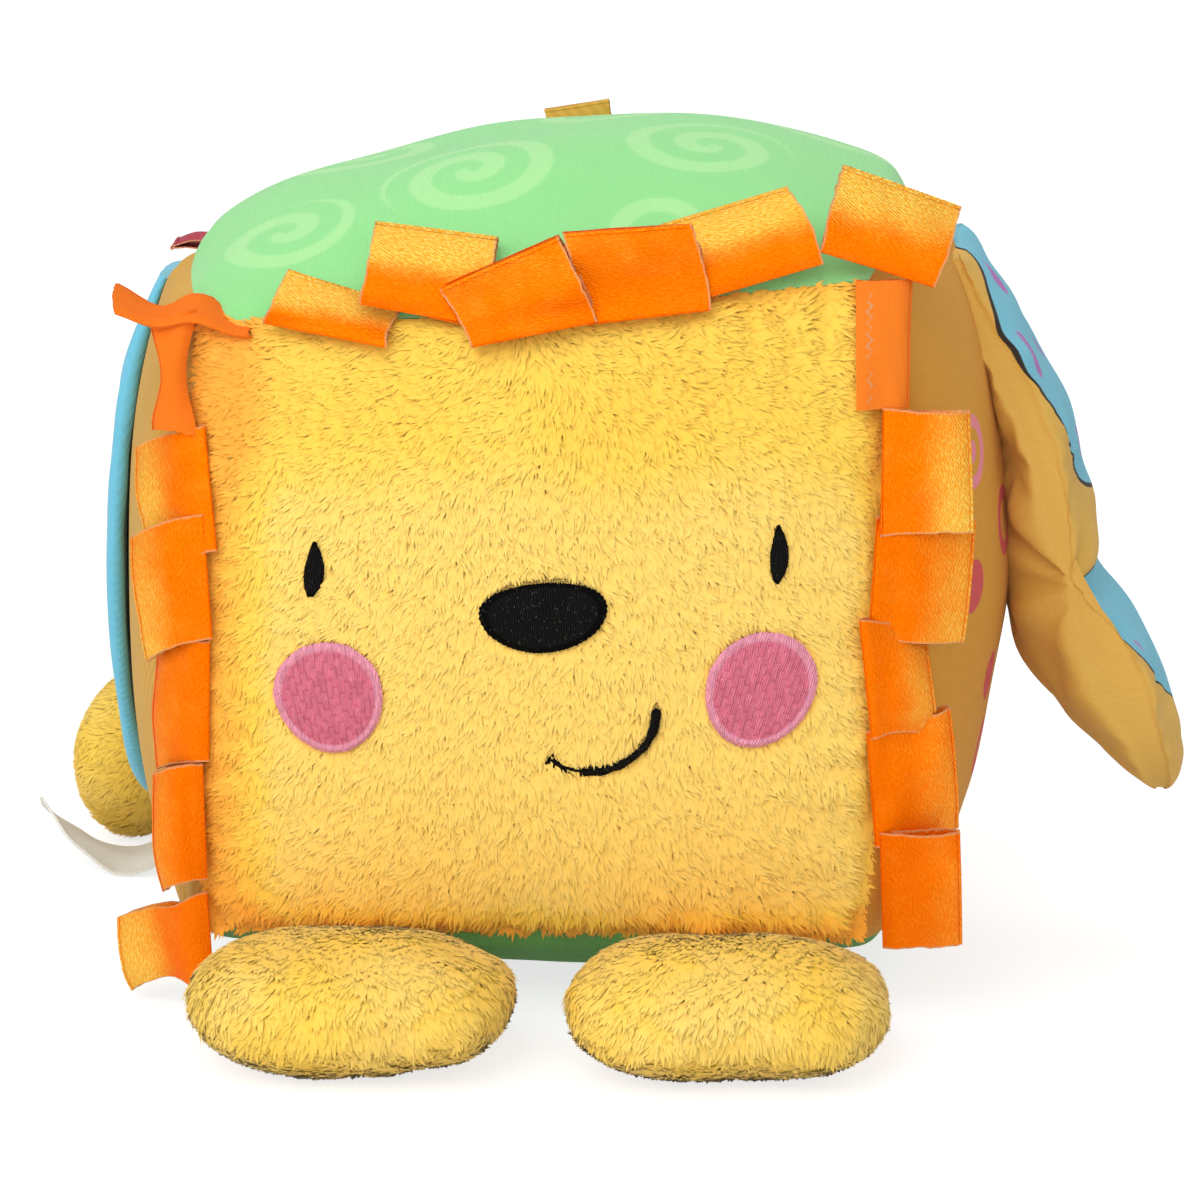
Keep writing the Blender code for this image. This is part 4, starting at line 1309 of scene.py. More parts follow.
class Ribbon:
    """A length of ribbon folded into a loop: modelled once, then copied and bent into place."""

    columns = 15
    fold_steps = 8
    fold = 0.06
    thickness = 0.0003

    def __init__(self) -> None:
        """Models the loop: a flat layer, a fold spun about its end, and a layer back."""
        deselect_all()
        bpy.ops.mesh.primitive_plane_add(size=1)
        self.piece = bpy.context.object
        bpy.ops.object.mode_set(mode="EDIT")
        bpy.ops.mesh.select_all(action="SELECT")
        bpy.ops.transform.translate(value=(0, 0.5, -self.fold))
        bpy.ops.mesh.subdivide(number_cuts=self.columns)
        self.select_end(-self.fold)
        bpy.ops.mesh.spin(steps=self.fold_steps, angle=math.pi, center=(0, 1, 0), axis=(1, 0, 0))
        bpy.ops.object.mode_set(mode="OBJECT")
        if corners_of(self.piece)[:, 2].max() < self.fold * 0.5:
            raise ValueError("the ribbon's fold was spun the wrong way")
        bpy.ops.object.mode_set(mode="EDIT")
        self.select_end(self.fold)
        step = -1 / (self.columns + 1)
        for _ in range(self.columns + 1):
            bpy.ops.mesh.extrude_region_move(TRANSFORM_OT_translate={"value": (0, step, 0)})
        bpy.ops.object.mode_set(mode="OBJECT")
        self.flat = corners_of(self.piece)

    def select_end(self, level: float) -> None:
        """Selects the cut end of the ribbon at a level, in edit mode."""
        bpy.ops.mesh.select_all(action="DESELECT")
        bpy.ops.object.mode_set(mode="OBJECT")
        for vertex in self.piece.data.vertices:
            vertex.select = abs(vertex.co.y - 1) < 1e-4 and abs(vertex.co.z - level) < 1e-4
        bpy.ops.object.mode_set(mode="EDIT")
        bpy.ops.mesh.select_mode(type="VERT")

    def travel(self, points: Array, v: Array) -> Array:
        """Returns how far along the ribbon each point lies from its fold, in metres.

        Args:
            points: The tab's points.
            v: Their shares of the ribbon, -1 to 1.

        Returns:
            The distances.
        """
        middle = np.abs(self.flat[:, 0]) < 0.26 / (self.columns + 1) + 1e-4
        rows, places = np.unique(np.round(v[middle], 5), return_index=True)
        path = points[middle][places]
        steps = np.concatenate([[0], np.cumsum(np.linalg.norm(np.diff(path, axis=0), axis=1))])
        return np.interp(v, rows, steps - np.interp(0, rows, steps))

    def discard(self) -> None:
        """Removes the model once every tab has its copy."""
        bpy.data.objects.remove(self.piece)

    def tab(self, name: str, root: Array, across: Array, out: Array, sizes: tuple[float, ...], look: TabLook) -> Piece:
        """Copies the loop and bends it into one tab.

        Args:
            name: The tab's name.
            root: The middle of its sewn end.
            across: The direction of its width.
            out: The direction that it stands in.
            sizes: Its root width, end width, length, root thickness and fold thickness.
            look: How it has been bent.

        Returns:
            The tab.
        """
        root_width, end_width, length, root_thickness, fold_thickness = sizes
        out = unit(out - across * (out @ across))
        forward = np.cross(across, out)
        forward = forward * (-1 if forward @ REAR > 0 else 1)
        activate(self.piece)
        bpy.ops.object.duplicate()
        piece = bpy.context.object
        piece.name = name
        piece.data.name = name
        u = self.flat[:, 0] * 2
        spun = np.arctan2(self.flat[:, 1] - 1, -self.flat[:, 2])
        along = np.where(self.flat[:, 1] <= 1, self.flat[:, 1], 1 + self.fold * spun)
        back = (self.flat[:, 2] > 0) & (self.flat[:, 1] <= 1)
        along = np.where(back, 2 + math.pi * self.fold - self.flat[:, 1], along)
        v = along / (2 + math.pi * self.fold) * 2 - 1
        s = np.sin(math.pi / 2 * (1 - np.abs(v)))
        belly = root_thickness + (fold_thickness - root_thickness) * ease(s / 0.75)
        half = belly / 2 * rounded_end(s, 0.25, 2) * rounded_end(1 - s, 0.10, 2)
        layer = -np.sign(v)
        root_width = root_width * look.root_wider
        width = (root_width + (end_width * look.wider - root_width) * ease(s * 2.2)) / 2
        seed = sum(map(ord, name))
        crinkle = Ripple(seed, 0.013).at(np.stack([u * width, s * length, layer * 0.004], axis=1))
        fray = 0.00012 * Ripple(seed + 1, 0.0022).at(np.stack([v * length, u, u], axis=1)) * np.abs(u) ** 20
        x = u * (width + fray) + look.shift + look.skew * s * s
        y = s * length * look.longer * (1 + look.slope * u * s) - look.inset * (1 - s)
        y *= 1 - look.waist * (1 - u * u) ** 2
        rise = layer * half + look.bow * s * s - look.cup * u * u * s
        rise += look.bulge * np.sin(math.pi * np.minimum(s * 1.2, 1))
        rise += look.twist * u * width / 0.0125 + look.wave * (np.cos(4.8 * u - 1.0) - 0.6 * u) * (0.5 + 0.5 * s)
        rise += 0.00030 * crinkle * ease(s * 2)
        turn = math.radians(look.tilt)
        x, y = x * math.cos(turn) - y * math.sin(turn), y * math.cos(turn) + x * math.sin(turn)
        points = root + np.outer(x, across) + np.outer(y, out) + np.outer(rise, forward)
        if look.tuck:
            face = BLOCK.points(BLOCK.cube(Side.FACE, BLOCK.face_spot(points)))
            lift = look.tuck + 0.0009 * look.layer + layer * half
            points[:, 1] += (1 - ease(s / 0.55)) * (face[:, 1] - lift - points[:, 1])
        points[:, 2] = np.maximum(points[:, 2], 0.0008)
        move_corners(piece, points)
        outward = layer[:, None] * forward * (1 - s[:, None] ** 8) + out * s[:, None] ** 8
        face_outwards(piece, outward)
        travel = self.travel(points, v)
        lay_cloth(piece, np.stack([u * width, travel], axis=1))
        note(piece, "from_root", np.abs(travel).max() - np.abs(travel))
        note(piece, "selvedge", np.abs(u))
        # Painted highlight: the glow attribute rises toward the fold, where the satin is painted golden.
        note(piece, "glow", look.glow * ease((s - 0.30) / 0.6) * (1 - 0.35 * u))
        finish_with(piece, "SOLIDIFY", thickness=self.thickness, offset=-1, use_even_offset=False)
        smooth(piece, 80)
        return piece


@dataclass
class Mane:
    """The ribbon tabs round the face."""

    ribbon_width: float = 0.025
    length: float = 0.0185
    left_length: float = 0.0150
    root_thickness: float = 0.0016
    fold_thickness: float = 0.0036
    layer_gap: float = 0.0005
    panel_gap: float = 0.0003
    top_spacing: float = 0.0205
    side_spacing: float = 0.0204
    row_drop: float = 0.0035
    corner_root_width: float = 0.013
    corner_length: float = 0.0195
    top: tuple[TabLook, ...] = (
        TabLook(
            1, -4, slope=-0.388, bow=-0.0065, bulge=0.0020, longer=0.25, skew=0.0020, inset=0.0031, shift=0.0012,
            tilt=-11.5, wider=0.94, glow=1.1
        ),
        TabLook(
            0, 9, bow=-0.0062, bulge=0.0008, skew=-0.0009, slope=0.045, inset=0.0008, shift=-0.0009, tilt=-13.2,
            glow=1.3, longer=0.844, wider=0.97
        ),
        TabLook(
            2, -14, slope=0.312, bow=-0.0047, bulge=0.0016, skew=-0.0044, longer=0.548, inset=0.0038, shift=-0.0003,
            tilt=7.5, glow=0.08
        ),
        TabLook(
            1, -3, bow=-0.0004, slope=-0.042, skew=-0.0020, inset=0.0033, shift=0.0014, tilt=1.6, longer=0.773,
            glow=0.1
        ),
        TabLook(
            0, 10, bow=-0.0062, bulge=0.0012, inset=-0.0003, shift=0.0036, skew=-0.0030, tilt=10.7, wider=1.035,
            longer=0.873, glow=1.3
        ),
    )
    left: tuple[TabLook, ...] = (
        TabLook(
            1, 27, waist=0.55, cup=0.0020, longer=0.44, inset=0.0044, shift=0.0086, tilt=6.0, wider=0.90, felt=True
        ),
        TabLook(
            0, 39, cup=0.0014, longer=0.661, inset=0.0097, glow=0.8, tilt=10.8, shift=0.0038, skew=-0.0033,
            slope=0.112
        ),
        TabLook(
            1, 26, cup=0.0012, longer=0.499, inset=0.0094, glow=0.6, bulge=0.0008, tilt=4.9, shift=0.0061,
            skew=-0.0049, slope=0.110
        ),
        TabLook(
            0, 38, cup=0.0014, longer=0.41, inset=0.0086, glow=0.2, tilt=-3.8, shift=0.0008, skew=-0.0048,
            slope=-0.036, wider=1.02
        ),
        TabLook(
            1, 27, cup=0.0018, longer=0.396, inset=0.0061, glow=0.3, tilt=-3.5, shift=-0.0057, skew=-0.0044,
            slope=0.112
        ),
        TabLook(
            0, 39, cup=0.0010, longer=1.282, inset=0.0035, glow=0.9, tilt=-4.4, shift=-0.0137, skew=-0.0075,
            slope=0.071, wider=0.62, root_wider=0.9, bow=0.0034
        ),
    )
    right: tuple[TabLook, ...] = (
        TabLook(0, 16, felt=True, cup=-0.0003, longer=0.246, inset=0.0062, tilt=3.8, shift=0.0073, slope=0.081),
        TabLook(
            1, 3, cup=0.0016, longer=0.831, inset=0.0023, glow=0.72, tilt=2.8, shift=0.0030, slope=-0.039,
            wider=0.955
        ),
        TabLook(
            0, 15, cup=0.0010, longer=0.838, inset=0.0046, glow=0.45, tilt=4.0, shift=0.0020, skew=-0.0005,
            slope=0.017, bulge=0.0008
        ),
        TabLook(
            1, 2, cup=0.0040, bow=-0.0038, longer=0.438, inset=0.0051, glow=0.4, wider=0.905, tilt=-7.7,
            shift=0.0034, skew=-0.0037, slope=-0.057
        ),
        TabLook(
            0, 14, cup=0.0016, longer=0.777, inset=0.0032, glow=0.3, tilt=-8.4, shift=0.0003, skew=0.0012,
            wider=1.02
        ),
        TabLook(1, 3, twist=0.0010, cup=0.0006, longer=0.897, inset=-0.0007, glow=0.2, tilt=-7.7, shift=-0.0008),
    )
    left_corner: TabLook = TabLook(
        0, 83, wave=0.0019, twist=-0.0044, felt=True, longer=0.45, inset=0.0038, tilt=-3, shift=-0.0024,
        root_wider=1.85
    )
    right_corner: TabLook = TabLook(
        0, 2, bow=-0.0066, bulge=0.0012, root_wider=1.8, wider=0.98, longer=0.861, inset=-0.0010, glow=1.0, tilt=8.6,
        slope=-0.025
    )
    tucks: tuple[float, float, float] = (0.0030, 0.0010, 0.0016)

    def tab(
        self,
        ribbon: Ribbon,
        node: str,
        cube: tuple[float, float, float],
        outward: Array,
        across: Array,
        lean: float,
        sizes: tuple[float, float],
        look: TabLook,
    ) -> None:
        """Makes and dresses one tab at the seam point of the cube coordinates."""
        out = turned(outward, across, lean)
        root = BLOCK.place(*cube) + unit(outward - REAR) * (self.root_thickness / 2 + self.panel_gap)
        forward = unit(np.cross(out, across))
        forward = -forward if forward @ REAR > 0 else forward
        root = root + forward * look.layer * (self.root_thickness + self.layer_gap)
        full = (sizes[0], self.ribbon_width, sizes[1], self.root_thickness, self.fold_thickness)
        piece = ribbon.tab(node.replace("tab", "ribbon"), root, across, out, full, look)
        finish = ORANGE_SATIN
        if look.felt:
            finish = SEWN_FELT if node.startswith("mane_tab_right") else FELT
        dress(piece, finish.material(), Slot.RIBBON, node, node)

    def build(self, ribbon: Ribbon) -> None:
        """Makes all the tabs."""
        sizes = (self.ribbon_width, self.length)
        for index, look in enumerate(self.top):
            x = (index - (len(self.top) - 1) / 2) * self.top_spacing
            cube = (x / BLOCK.half[0], -1, 1)
            across = BLOCK.seam_direction(cube, 0)
            look = replace(look, tuck=self.tucks[0])
            self.tab(ribbon, f"mane_tab_top_{index + 1}", cube, UP, across, -look.lean, sizes, look)
        rows = (("left", -1, self.left, self.left_length), ("right", 1, self.right, self.length))
        for side, hand, row, length in rows:
            for index, look in enumerate(row):
                z = ((len(row) - 1) / 2 - index) * self.side_spacing - self.row_drop
                cube = (hand, -1, z / BLOCK.half[2])
                across = BLOCK.seam_direction(cube, 2)
                sizes = (self.ribbon_width, length)
                node = f"mane_tab_{side}_{index + 1}"
                look = replace(look, tuck=self.tucks[1] if hand < 0 else self.tucks[2])
                self.tab(ribbon, node, cube, RIGHT * hand, across, look.lean * hand, sizes, look)
        sizes = (self.corner_root_width, self.corner_length)
        for side, hand, turn, look in (("left", -1, 16.0, self.left_corner), ("right", 1, 26.0, self.right_corner)):
            outward, across = turned(UP, REAR, turn * hand), turned(RIGHT, REAR, turn * hand)
            look = replace(look, tuck=0.0 if hand < 0 else self.tucks[0])
            self.tab(ribbon, f"mane_tab_corner_{side}", (hand, -1, 1), outward, across, -look.lean, sizes, look)


@dataclass
class RearTabs:
    """The red tab at the rear left corner of the top and the yellow loop behind its middle."""

    root_thickness: float = 0.0016
    fold_thickness: float = 0.0036
    gap: float = 0.0016
    red_length: float = 0.018
    red_rise: float = 27.0
    loop_width: float = 0.020
    loop_length: float = 0.017

    def build(self, ribbon: Ribbon) -> None:
        """Makes both."""
        root = BLOCK.place(-1, 1, 1) + unit(UP - RIGHT + REAR) * self.gap
        out = turned(-RIGHT, REAR, self.red_rise)
        sizes = (0.007, 0.014, self.red_length, self.root_thickness * 0.7, self.fold_thickness * 0.6)
        red = ribbon.tab("red_ribbon", root, REAR, out, sizes, TabLook(0, 0, wave=0.0004, bow=-0.0080, bulge=-0.0010))
        dress(red, RED_SATIN.material(), Slot.RED, "red_tab", "red_tab")
        cube = (0.0, 1.0, 1.0)
        root = BLOCK.place(*cube) + unit(UP + REAR) * self.gap
        sizes = (self.loop_width, self.loop_width, self.loop_length, self.root_thickness, self.fold_thickness)
        look = TabLook(0, 0, root_wider=0.75, wider=0.70, shift=0.0045, cup=0.0008)
        loop = ribbon.tab("yellow_loop", root, BLOCK.seam_direction(cube, 0), UP, sizes, look)
        dress(loop, YELLOW_TWILL.material(), Slot.YELLOW, "rear_loop", "rear_loop")


def stuffed_ball(name: str, segments: int, rings: int) -> tuple[Piece, Array]:
    """Adds a ball to be shaped into a stuffed piece.

    Args:
        name: The piece's name.
        segments: Its faces round.
        rings: Its faces from pole to pole.

    Returns:
        The ball and its vertices, at radius one.
    """
    deselect_all()
    bpy.ops.mesh.primitive_uv_sphere_add(segments=segments, ring_count=rings, radius=1)
    piece = bpy.context.object
    piece.name = name
    piece.data.name = name
    return piece, corners_of(piece)


@dataclass
class Foot:
    """One foot: a flat stuffed plush pad sewn to the front hem."""

    hand: int
    width: float = 0.067
    length: float = 0.047
    thickness: float = 0.0285
    spacing: float = 0.0735
    hem: float = 0.006
    shift: float = 0.0024
    outline: float = 2.5
    taper: float = 3.0
    gap: float = 0.0008
    sunk: float = 0.0011
    tufts: int = 19000

    def form(self, ball: Array) -> Array:
        """Returns the pad's points for a ball's: full at the toes and thin at the hem.

        Args:
            ball: The points of a ball of radius one.

        Returns:
            The pad's points.
        """
        x, y, z = ball.T
        x_middle = self.shift + self.hand * self.spacing / 2
        root = BLOCK.place(x_middle / BLOCK.half[0], -1, -1) - REAR * self.gap
        plan = np.hypot(x, y)
        fuller = plan / np.maximum((np.abs(x) ** self.outline + np.abs(y) ** self.outline) ** (1 / self.outline), 1e-9)
        x, y = x * fuller, y * fuller
        rear = np.clip((y + 1) / 2, 0, 1)
        x = x * (1 - 0.16 * rear**1.6)
        thin = 1 - (1 - self.hem / self.thickness) * rear**self.taper
        middle_z = self.thickness / 2 - 0.0005
        tall = np.sign(z) * np.abs(z) ** 0.9 * thin * (self.thickness / 2 - self.sunk)
        rise = (root[2] - middle_z) * rear**self.taper
        points = np.stack(
            [
                x_middle + x * (self.width / 2 - self.sunk),
                root[1] - (1 - rear) * (self.length - self.sunk) - 0.0008,
                middle_z + rise + tall,
            ],
            axis=1,
        )
        points += unit(points - points.mean(axis=0)) * 0.0007 * Ripple(60 + self.hand, 0.022).at(points)[:, None]
        points[:, 2] = np.maximum(points[:, 2], 0.0004)
        return points

    def nap(self, roots: Array) -> Array:
        """Returns which way the pile lies: forwards and down, spreading to the sides."""
        x = roots[:, 0] - (self.shift + self.hand * self.spacing / 2)
        return np.stack([x / (self.width / 2) * 0.8, np.full(len(x), -0.7), np.full(len(x), -0.5)], axis=1)

    def tint_and_painted_light(self, roots: Array) -> Array:
        """Returns how orange the pile is: a tint all over with random blots, and painted shade most under the face."""
        near = (roots[:, 1] + 0.084) / 0.018
        return 0.85 * ease(near) + 0.22 + 0.10 * Ripple(33, 0.02).at(roots)

    def build(self) -> None:
        """Makes the pad and its pile."""
        side = "left" if self.hand < 0 else "right"
        pad, ball = stuffed_ball(f"{side}_foot_form", 72, 40)
        move_corners(pad, self.form(ball))
        lay_cloth(pad, corners_of(pad)[:, :2])
        pile = Pile(seed=70 + self.hand, nap=self.nap, length=0.0044, width=0.0014, rise=0.30)
        tufts = pile.grow(f"{side}_foot_pile", pad, self.tufts, self.tint_and_painted_light)
        smooth(pad)
        node = f"{side}_foot"
        dress(pad, BACKING.material(), Slot.PLUSH, node, node)
        dress(tufts, PLUSH.material(), Slot.PLUSH, node)


@dataclass
class Tail:
    """The tail: a stuffed plush egg on a narrow neck, lying behind the left side."""

    length: float = 0.041
    width: float = 0.040
    height: float = 0.044
    neck: float = 0.009
    turn: float = 10.0
    forward: float = 0.015
    taper: float = 2.5
    gap: float = 0.0008
    sunk: float = 0.0010
    tufts: int = 14000

    def form(self, ball: Array) -> Array:
        """Returns the tail's points for a ball's.

        Args:
            ball: The points of a ball of radius one.

        Returns:
            The tail's points.
        """
        x, y, z = ball.T
        seam = BLOCK.place(-1, 1, -1 + (self.height / 2) / BLOCK.half[2])
        away, across = turned(-RIGHT, UP, -self.turn), turned(REAR, UP, -self.turn)
        root = seam + unit(away + REAR) * self.gap
        near = (1 - y) / 2
        thin = 1 - (1 - self.neck / self.height) * near**self.taper
        middle_z = self.height / 2 - 0.0030
        points = root + np.outer((1 - near) * (self.length - self.sunk), away)
        points -= np.outer(self.forward * (1 - near), REAR)
        points += np.outer(x * thin * (self.width / 2 - self.sunk), across)
        points[:, 2] = middle_z + (root[2] - middle_z) * near**self.taper
        points[:, 2] += z * thin * (self.height / 2 - self.sunk)
        points[:, 2] = np.maximum(points[:, 2], 0.0004)
        return points

    def nap(self, roots: Array) -> Array:
        """Returns which way the pile lies: away from the neck and down."""
        away = turned(-RIGHT, UP, -self.turn)
        return np.tile(away + 0.5 * -UP, (len(roots), 1))

    def tint_and_painted_light(self, roots: Array) -> Array:
        """Returns how orange the pile is."""
        return 0.30 + 0.12 * Ripple(35, 0.02).at(roots)

    def build(self) -> None:
        """Makes the tail and its pile."""
        egg, ball = stuffed_ball("tail_form", 56, 40)
        move_corners(egg, self.form(ball))
        lay_cloth(egg, corners_of(egg)[:, 1:])
        pile = Pile(seed=81, nap=self.nap, length=0.0036, width=0.00080, rise=0.36)
        tufts = pile.grow("tail_pile", egg, self.tufts, self.tint_and_painted_light)
        smooth(egg)
        dress(egg, BACKING.material(), Slot.PLUSH, "tail", "tail")
        dress(tufts, PLUSH.material(), Slot.PLUSH, "tail")


@dataclass
class Wing:
    """The thick flap on the right: a stuffed wing of two cloths that hangs from the top seam and kicks out."""

    top: float = 0.1490
    tip: float = 0.0335
    depth: float = 0.060
    root_depth: float = 0.044
    cloth_length: float = 0.105
    seam: float = 0.0022
    clearance: float = -0.0014
    least: float = 0.0030
    profile: tuple[tuple[float, float, float, float], ...] = (
        (0.00, 0.0801, 0.0822, 0.0867),
        (0.05, 0.0812, 0.0838, 0.0898),
        (0.10, 0.0832, 0.0865, 0.0942),
        (0.16, 0.0846, 0.0898, 0.0988),
        (0.22, 0.0864, 0.0944, 0.1026),
        (0.30, 0.0893, 0.0993, 0.1068),
        (0.38, 0.0917, 0.1027, 0.1101),
        (0.46, 0.0925, 0.1052, 0.1120),
        (0.54, 0.0927, 0.1082, 0.1114),
        (0.60, 0.0932, 0.1122, 0.1132),
        (0.66, 0.0943, 0.1161, 0.1191),
        (0.73, 0.0963, 0.1188, 0.1246),
        (0.80, 0.1019, 0.1219, 0.1284),
        (0.87, 0.1097, 0.1248, 0.1312),
        (0.93, 0.1163, 0.1260, 0.1332),
        (0.97, 0.1208, 0.1268, 0.1333),
        (1.00, 0.1240, 0.1274, 0.1326),
    )
    pinches: tuple[tuple[float, float, float, float], ...] = (
        (0.575, -1.0, 0.0050, 0.0075),
        (0.145, -1.0, 0.0026, 0.0050),
        (0.36, -0.70, 0.0016, 0.0070),
        (0.84, -0.55, 0.0014, 0.0080),
    )

    def side(self, s: Array, column: int) -> Array:
        """Returns one smoothed column of the profile at shares of the wing's length."""
        table = np.array(self.profile)
        steps = np.linspace(-0.03, 0.03, 9)
        return np.mean([np.interp(s + step, table[:, 0], table[:, column]) for step in steps], axis=0)

    def block_side(self, points: Array) -> Array:
        """Returns how far right the block's side reaches behind and below each of the points.

        Args:
            points: The points.

        Returns:
            How far right, in metres.
        """
        spot = np.stack([points[:, 1] / BLOCK.half[1], (points[:, 2] - BLOCK.middle) / BLOCK.half[2]], axis=1)
        return BLOCK.points(BLOCK.cube(Side.RIGHT, np.clip(spot, -1, 1)))[:, 0]

    def dents(self, flat: Array, u: Array, skin: Array) -> Array:
        """Returns how deep the stuffed cloth dips: pinches with rays round them, soft folds and gathers.

        Args:
            flat: Where each point lies on its cloth.
            u: How far each lies from the middle, -1 to 1.
            skin: Which cloth each is in.

        Returns:
            The depths, in metres.
        """
        deep = np.zeros(len(flat))
        for at, edge, most, reach in self.pinches:
            offset = flat - (edge * self.depth / 2, at * self.cloth_length)
            away = np.hypot(*offset.T)
            angle = np.arctan2(offset[:, 1], offset[:, 0])
            rays = 0.30 * most * np.cos(7 * angle + at * 9) * np.exp(-((away / (2.6 * reach)) ** 2))
            rays *= 1 - np.exp(-((away / (0.5 * reach)) ** 2))
            deep += most * np.exp(-((away / reach) ** 2)) + rays
        folds = 0.0009 * Ripple(91, 0.016).at(np.stack([flat[:, 0] * 0.5, flat[:, 1], skin * 0.01], axis=1))
        gathers = np.sin(flat[:, 1] / 0.0011 + 3 * np.sin(flat[:, 1] / 0.004))
        gathers *= 0.0004 * np.exp(-(1 - np.abs(u)) / 0.12)
        return deep - folds - gathers

    def form(self, ball: Array) -> tuple[Array, Array, Array]:
        """Returns the wing's points for a ball's, where each lies on its cloth, and which cloth it is in.

        Args:
            ball: The points of a ball of radius one.

        Returns:
            The points, their places on the cloth and their side of it.
        """
        x, y, z = ball.T
        ring = np.maximum(np.hypot(x, y), 1e-9)
        u, skin = x / ring, y / ring
        s = np.arccos(np.clip(z, -1, 1)) / math.pi
        s = (1 - np.cos(math.pi * s)) / 2 * 0.35 + s * 0.65
        at_pole = np.abs(z) < 1 - 1e-6
        depth = self.root_depth + (self.depth - self.root_depth) * ease(s / 0.40)
        depth = depth * rounded_end(s * 0.995, 0.40, 2.8) / 2
        near_seam = np.exp(-(((1 - np.abs(u)) / 0.04) ** 2))
        behind = u * (depth - self.seam * near_seam) * at_pole
        points = np.stack([s, behind, self.top + (self.tip - self.top) * s], axis=1)
        inner, seam, outer = (self.side(s, column) for column in (1, 2, 3))
        blocked = self.block_side(points) + self.clearance
        rear = inner + 0.3 * (outer - inner)
        middle = np.maximum(seam + (rear - seam) * (u + 1) / 2, blocked)
        full = np.maximum(1 - u * u, 0) ** 0.36
        full *= np.sqrt(np.clip(1 - (1 - s / 0.045) ** 2 * (s < 0.045), 0, 1)) * rounded_end(s, 0.06, 2)
        flat = np.stack([u * depth, s * self.cloth_length], axis=1)
        dents = self.dents(flat, u, skin) * np.minimum(full * 1.6, 1) * (1 - 0.5 * ease((s - 0.9) / 0.1))
        left = np.maximum(middle - (middle - inner) * full + dents, blocked)
        right = np.maximum(middle + np.maximum(outer - middle, self.least) * full - dents, left + self.least * full)
        points[:, 0] = np.where(skin < 0, left, right)
        return points, flat, skin

    def build(self) -> None:
        """Makes the wing as one closed form and gives its two sides their cloths."""
        piece, ball = stuffed_ball("wing_form", 96, 110)
        points, flat, skin = self.form(ball)
        move_corners(piece, points)
        lay_cloth(piece, flat)
        smooth(piece, 70)
        dress(piece, YELLOW_PLAIN.material(), Slot.YELLOW, "right_wing", "right_wing")
        piece.data.materials.append(WING_PRINT.material())
        corners = np.empty(len(piece.data.loops), np.int32)
        piece.data.loops.foreach_get("vertex_index", corners)
        starts = np.empty(len(piece.data.polygons), np.int32)
        piece.data.polygons.foreach_get("loop_start", starts)
        outer = np.add.reduceat(skin[corners], starts) > 0
        piece.data.polygons.foreach_set("material_index", outer.astype(np.int32))
        piece.data.update()


@dataclass
class Pad:
    """The thin pad on the left: it hangs from the top seam and lies on the panel."""

    depth: float = 0.066
    root_depth: float = 0.052
    thickness: float = 0.0040
    root_thickness: float = 0.0022
    top_share: float = 0.94
    length_share: float = 0.84
    gap: float = 0.0001
    behind: float = 0.010
    narrower: float = 0.006
    cloth_length: float = 0.098
    topstitch: float = 0.0035

    def build(self) -> None:
        """Makes the pad with its row of topstitching."""
        piece, ball = stuffed_ball("left_pad_form", 96, 90)
        x, y, z = ball.T
        ring = np.maximum(np.hypot(x, y), 1e-9)
        u, skin = x / ring, y / ring
        s = np.arccos(np.clip(z, -1, 1)) / math.pi
        u = np.sign(u) * (1 - (1 - np.abs(u)) ** 0.8) * np.where(np.abs(z) < 1 - 1e-6, 1, 0)
        depth = self.root_depth + (self.depth - self.root_depth) * ease(s / 0.5)
        depth = (depth - self.narrower) * rounded_end(s * 0.995, 0.56, 2.4)
        across = (u * depth / 2 + self.behind) / BLOCK.half[1]
        cube = BLOCK.cube(Side.LEFT, np.stack([across, self.top_share - 2 * s * self.length_share], axis=1))
        full = self.root_thickness + (self.thickness - self.root_thickness) * ease(s / 0.20)
        to_side = (1 - np.abs(u)) * depth / 2
        to_edge = np.minimum(to_side, (1 - s) * self.cloth_length)
        rim = np.sqrt(np.clip(1 - (1 - to_edge / 0.003) ** 2, 0.02, 1)) * (to_edge < 0.003) + (to_edge >= 0.003)
        rim = rim * (1 - 0.22 * np.exp(-(((to_edge - self.topstitch) / 0.0008) ** 2)))
        rim = rim * (1 + 0.10 * Ripple(93, 0.02).at(np.stack([u * depth, s * 0.1, s * 0], axis=1)))
        lift = self.gap + full * np.where(skin > 0, 0.5 + 0.5 * rim, 0.5 - 0.5 * rim)
        move_corners(piece, BLOCK.points(cube) + BLOCK.normals(cube, Side.LEFT) * lift[:, None])
        lay_cloth(piece, np.stack([u * depth / 2, s * self.cloth_length], axis=1))
        activate(piece)
        bpy.ops.object.mode_set(mode="EDIT")
        bpy.ops.mesh.select_all(action="SELECT")
        bpy.ops.mesh.normals_make_consistent(inside=False)
        bpy.ops.object.mode_set(mode="OBJECT")
        smooth(piece, 70)
        dress(piece, BLUE_TWILL.material(), Slot.BLUE, "left_pad", "left_pad")


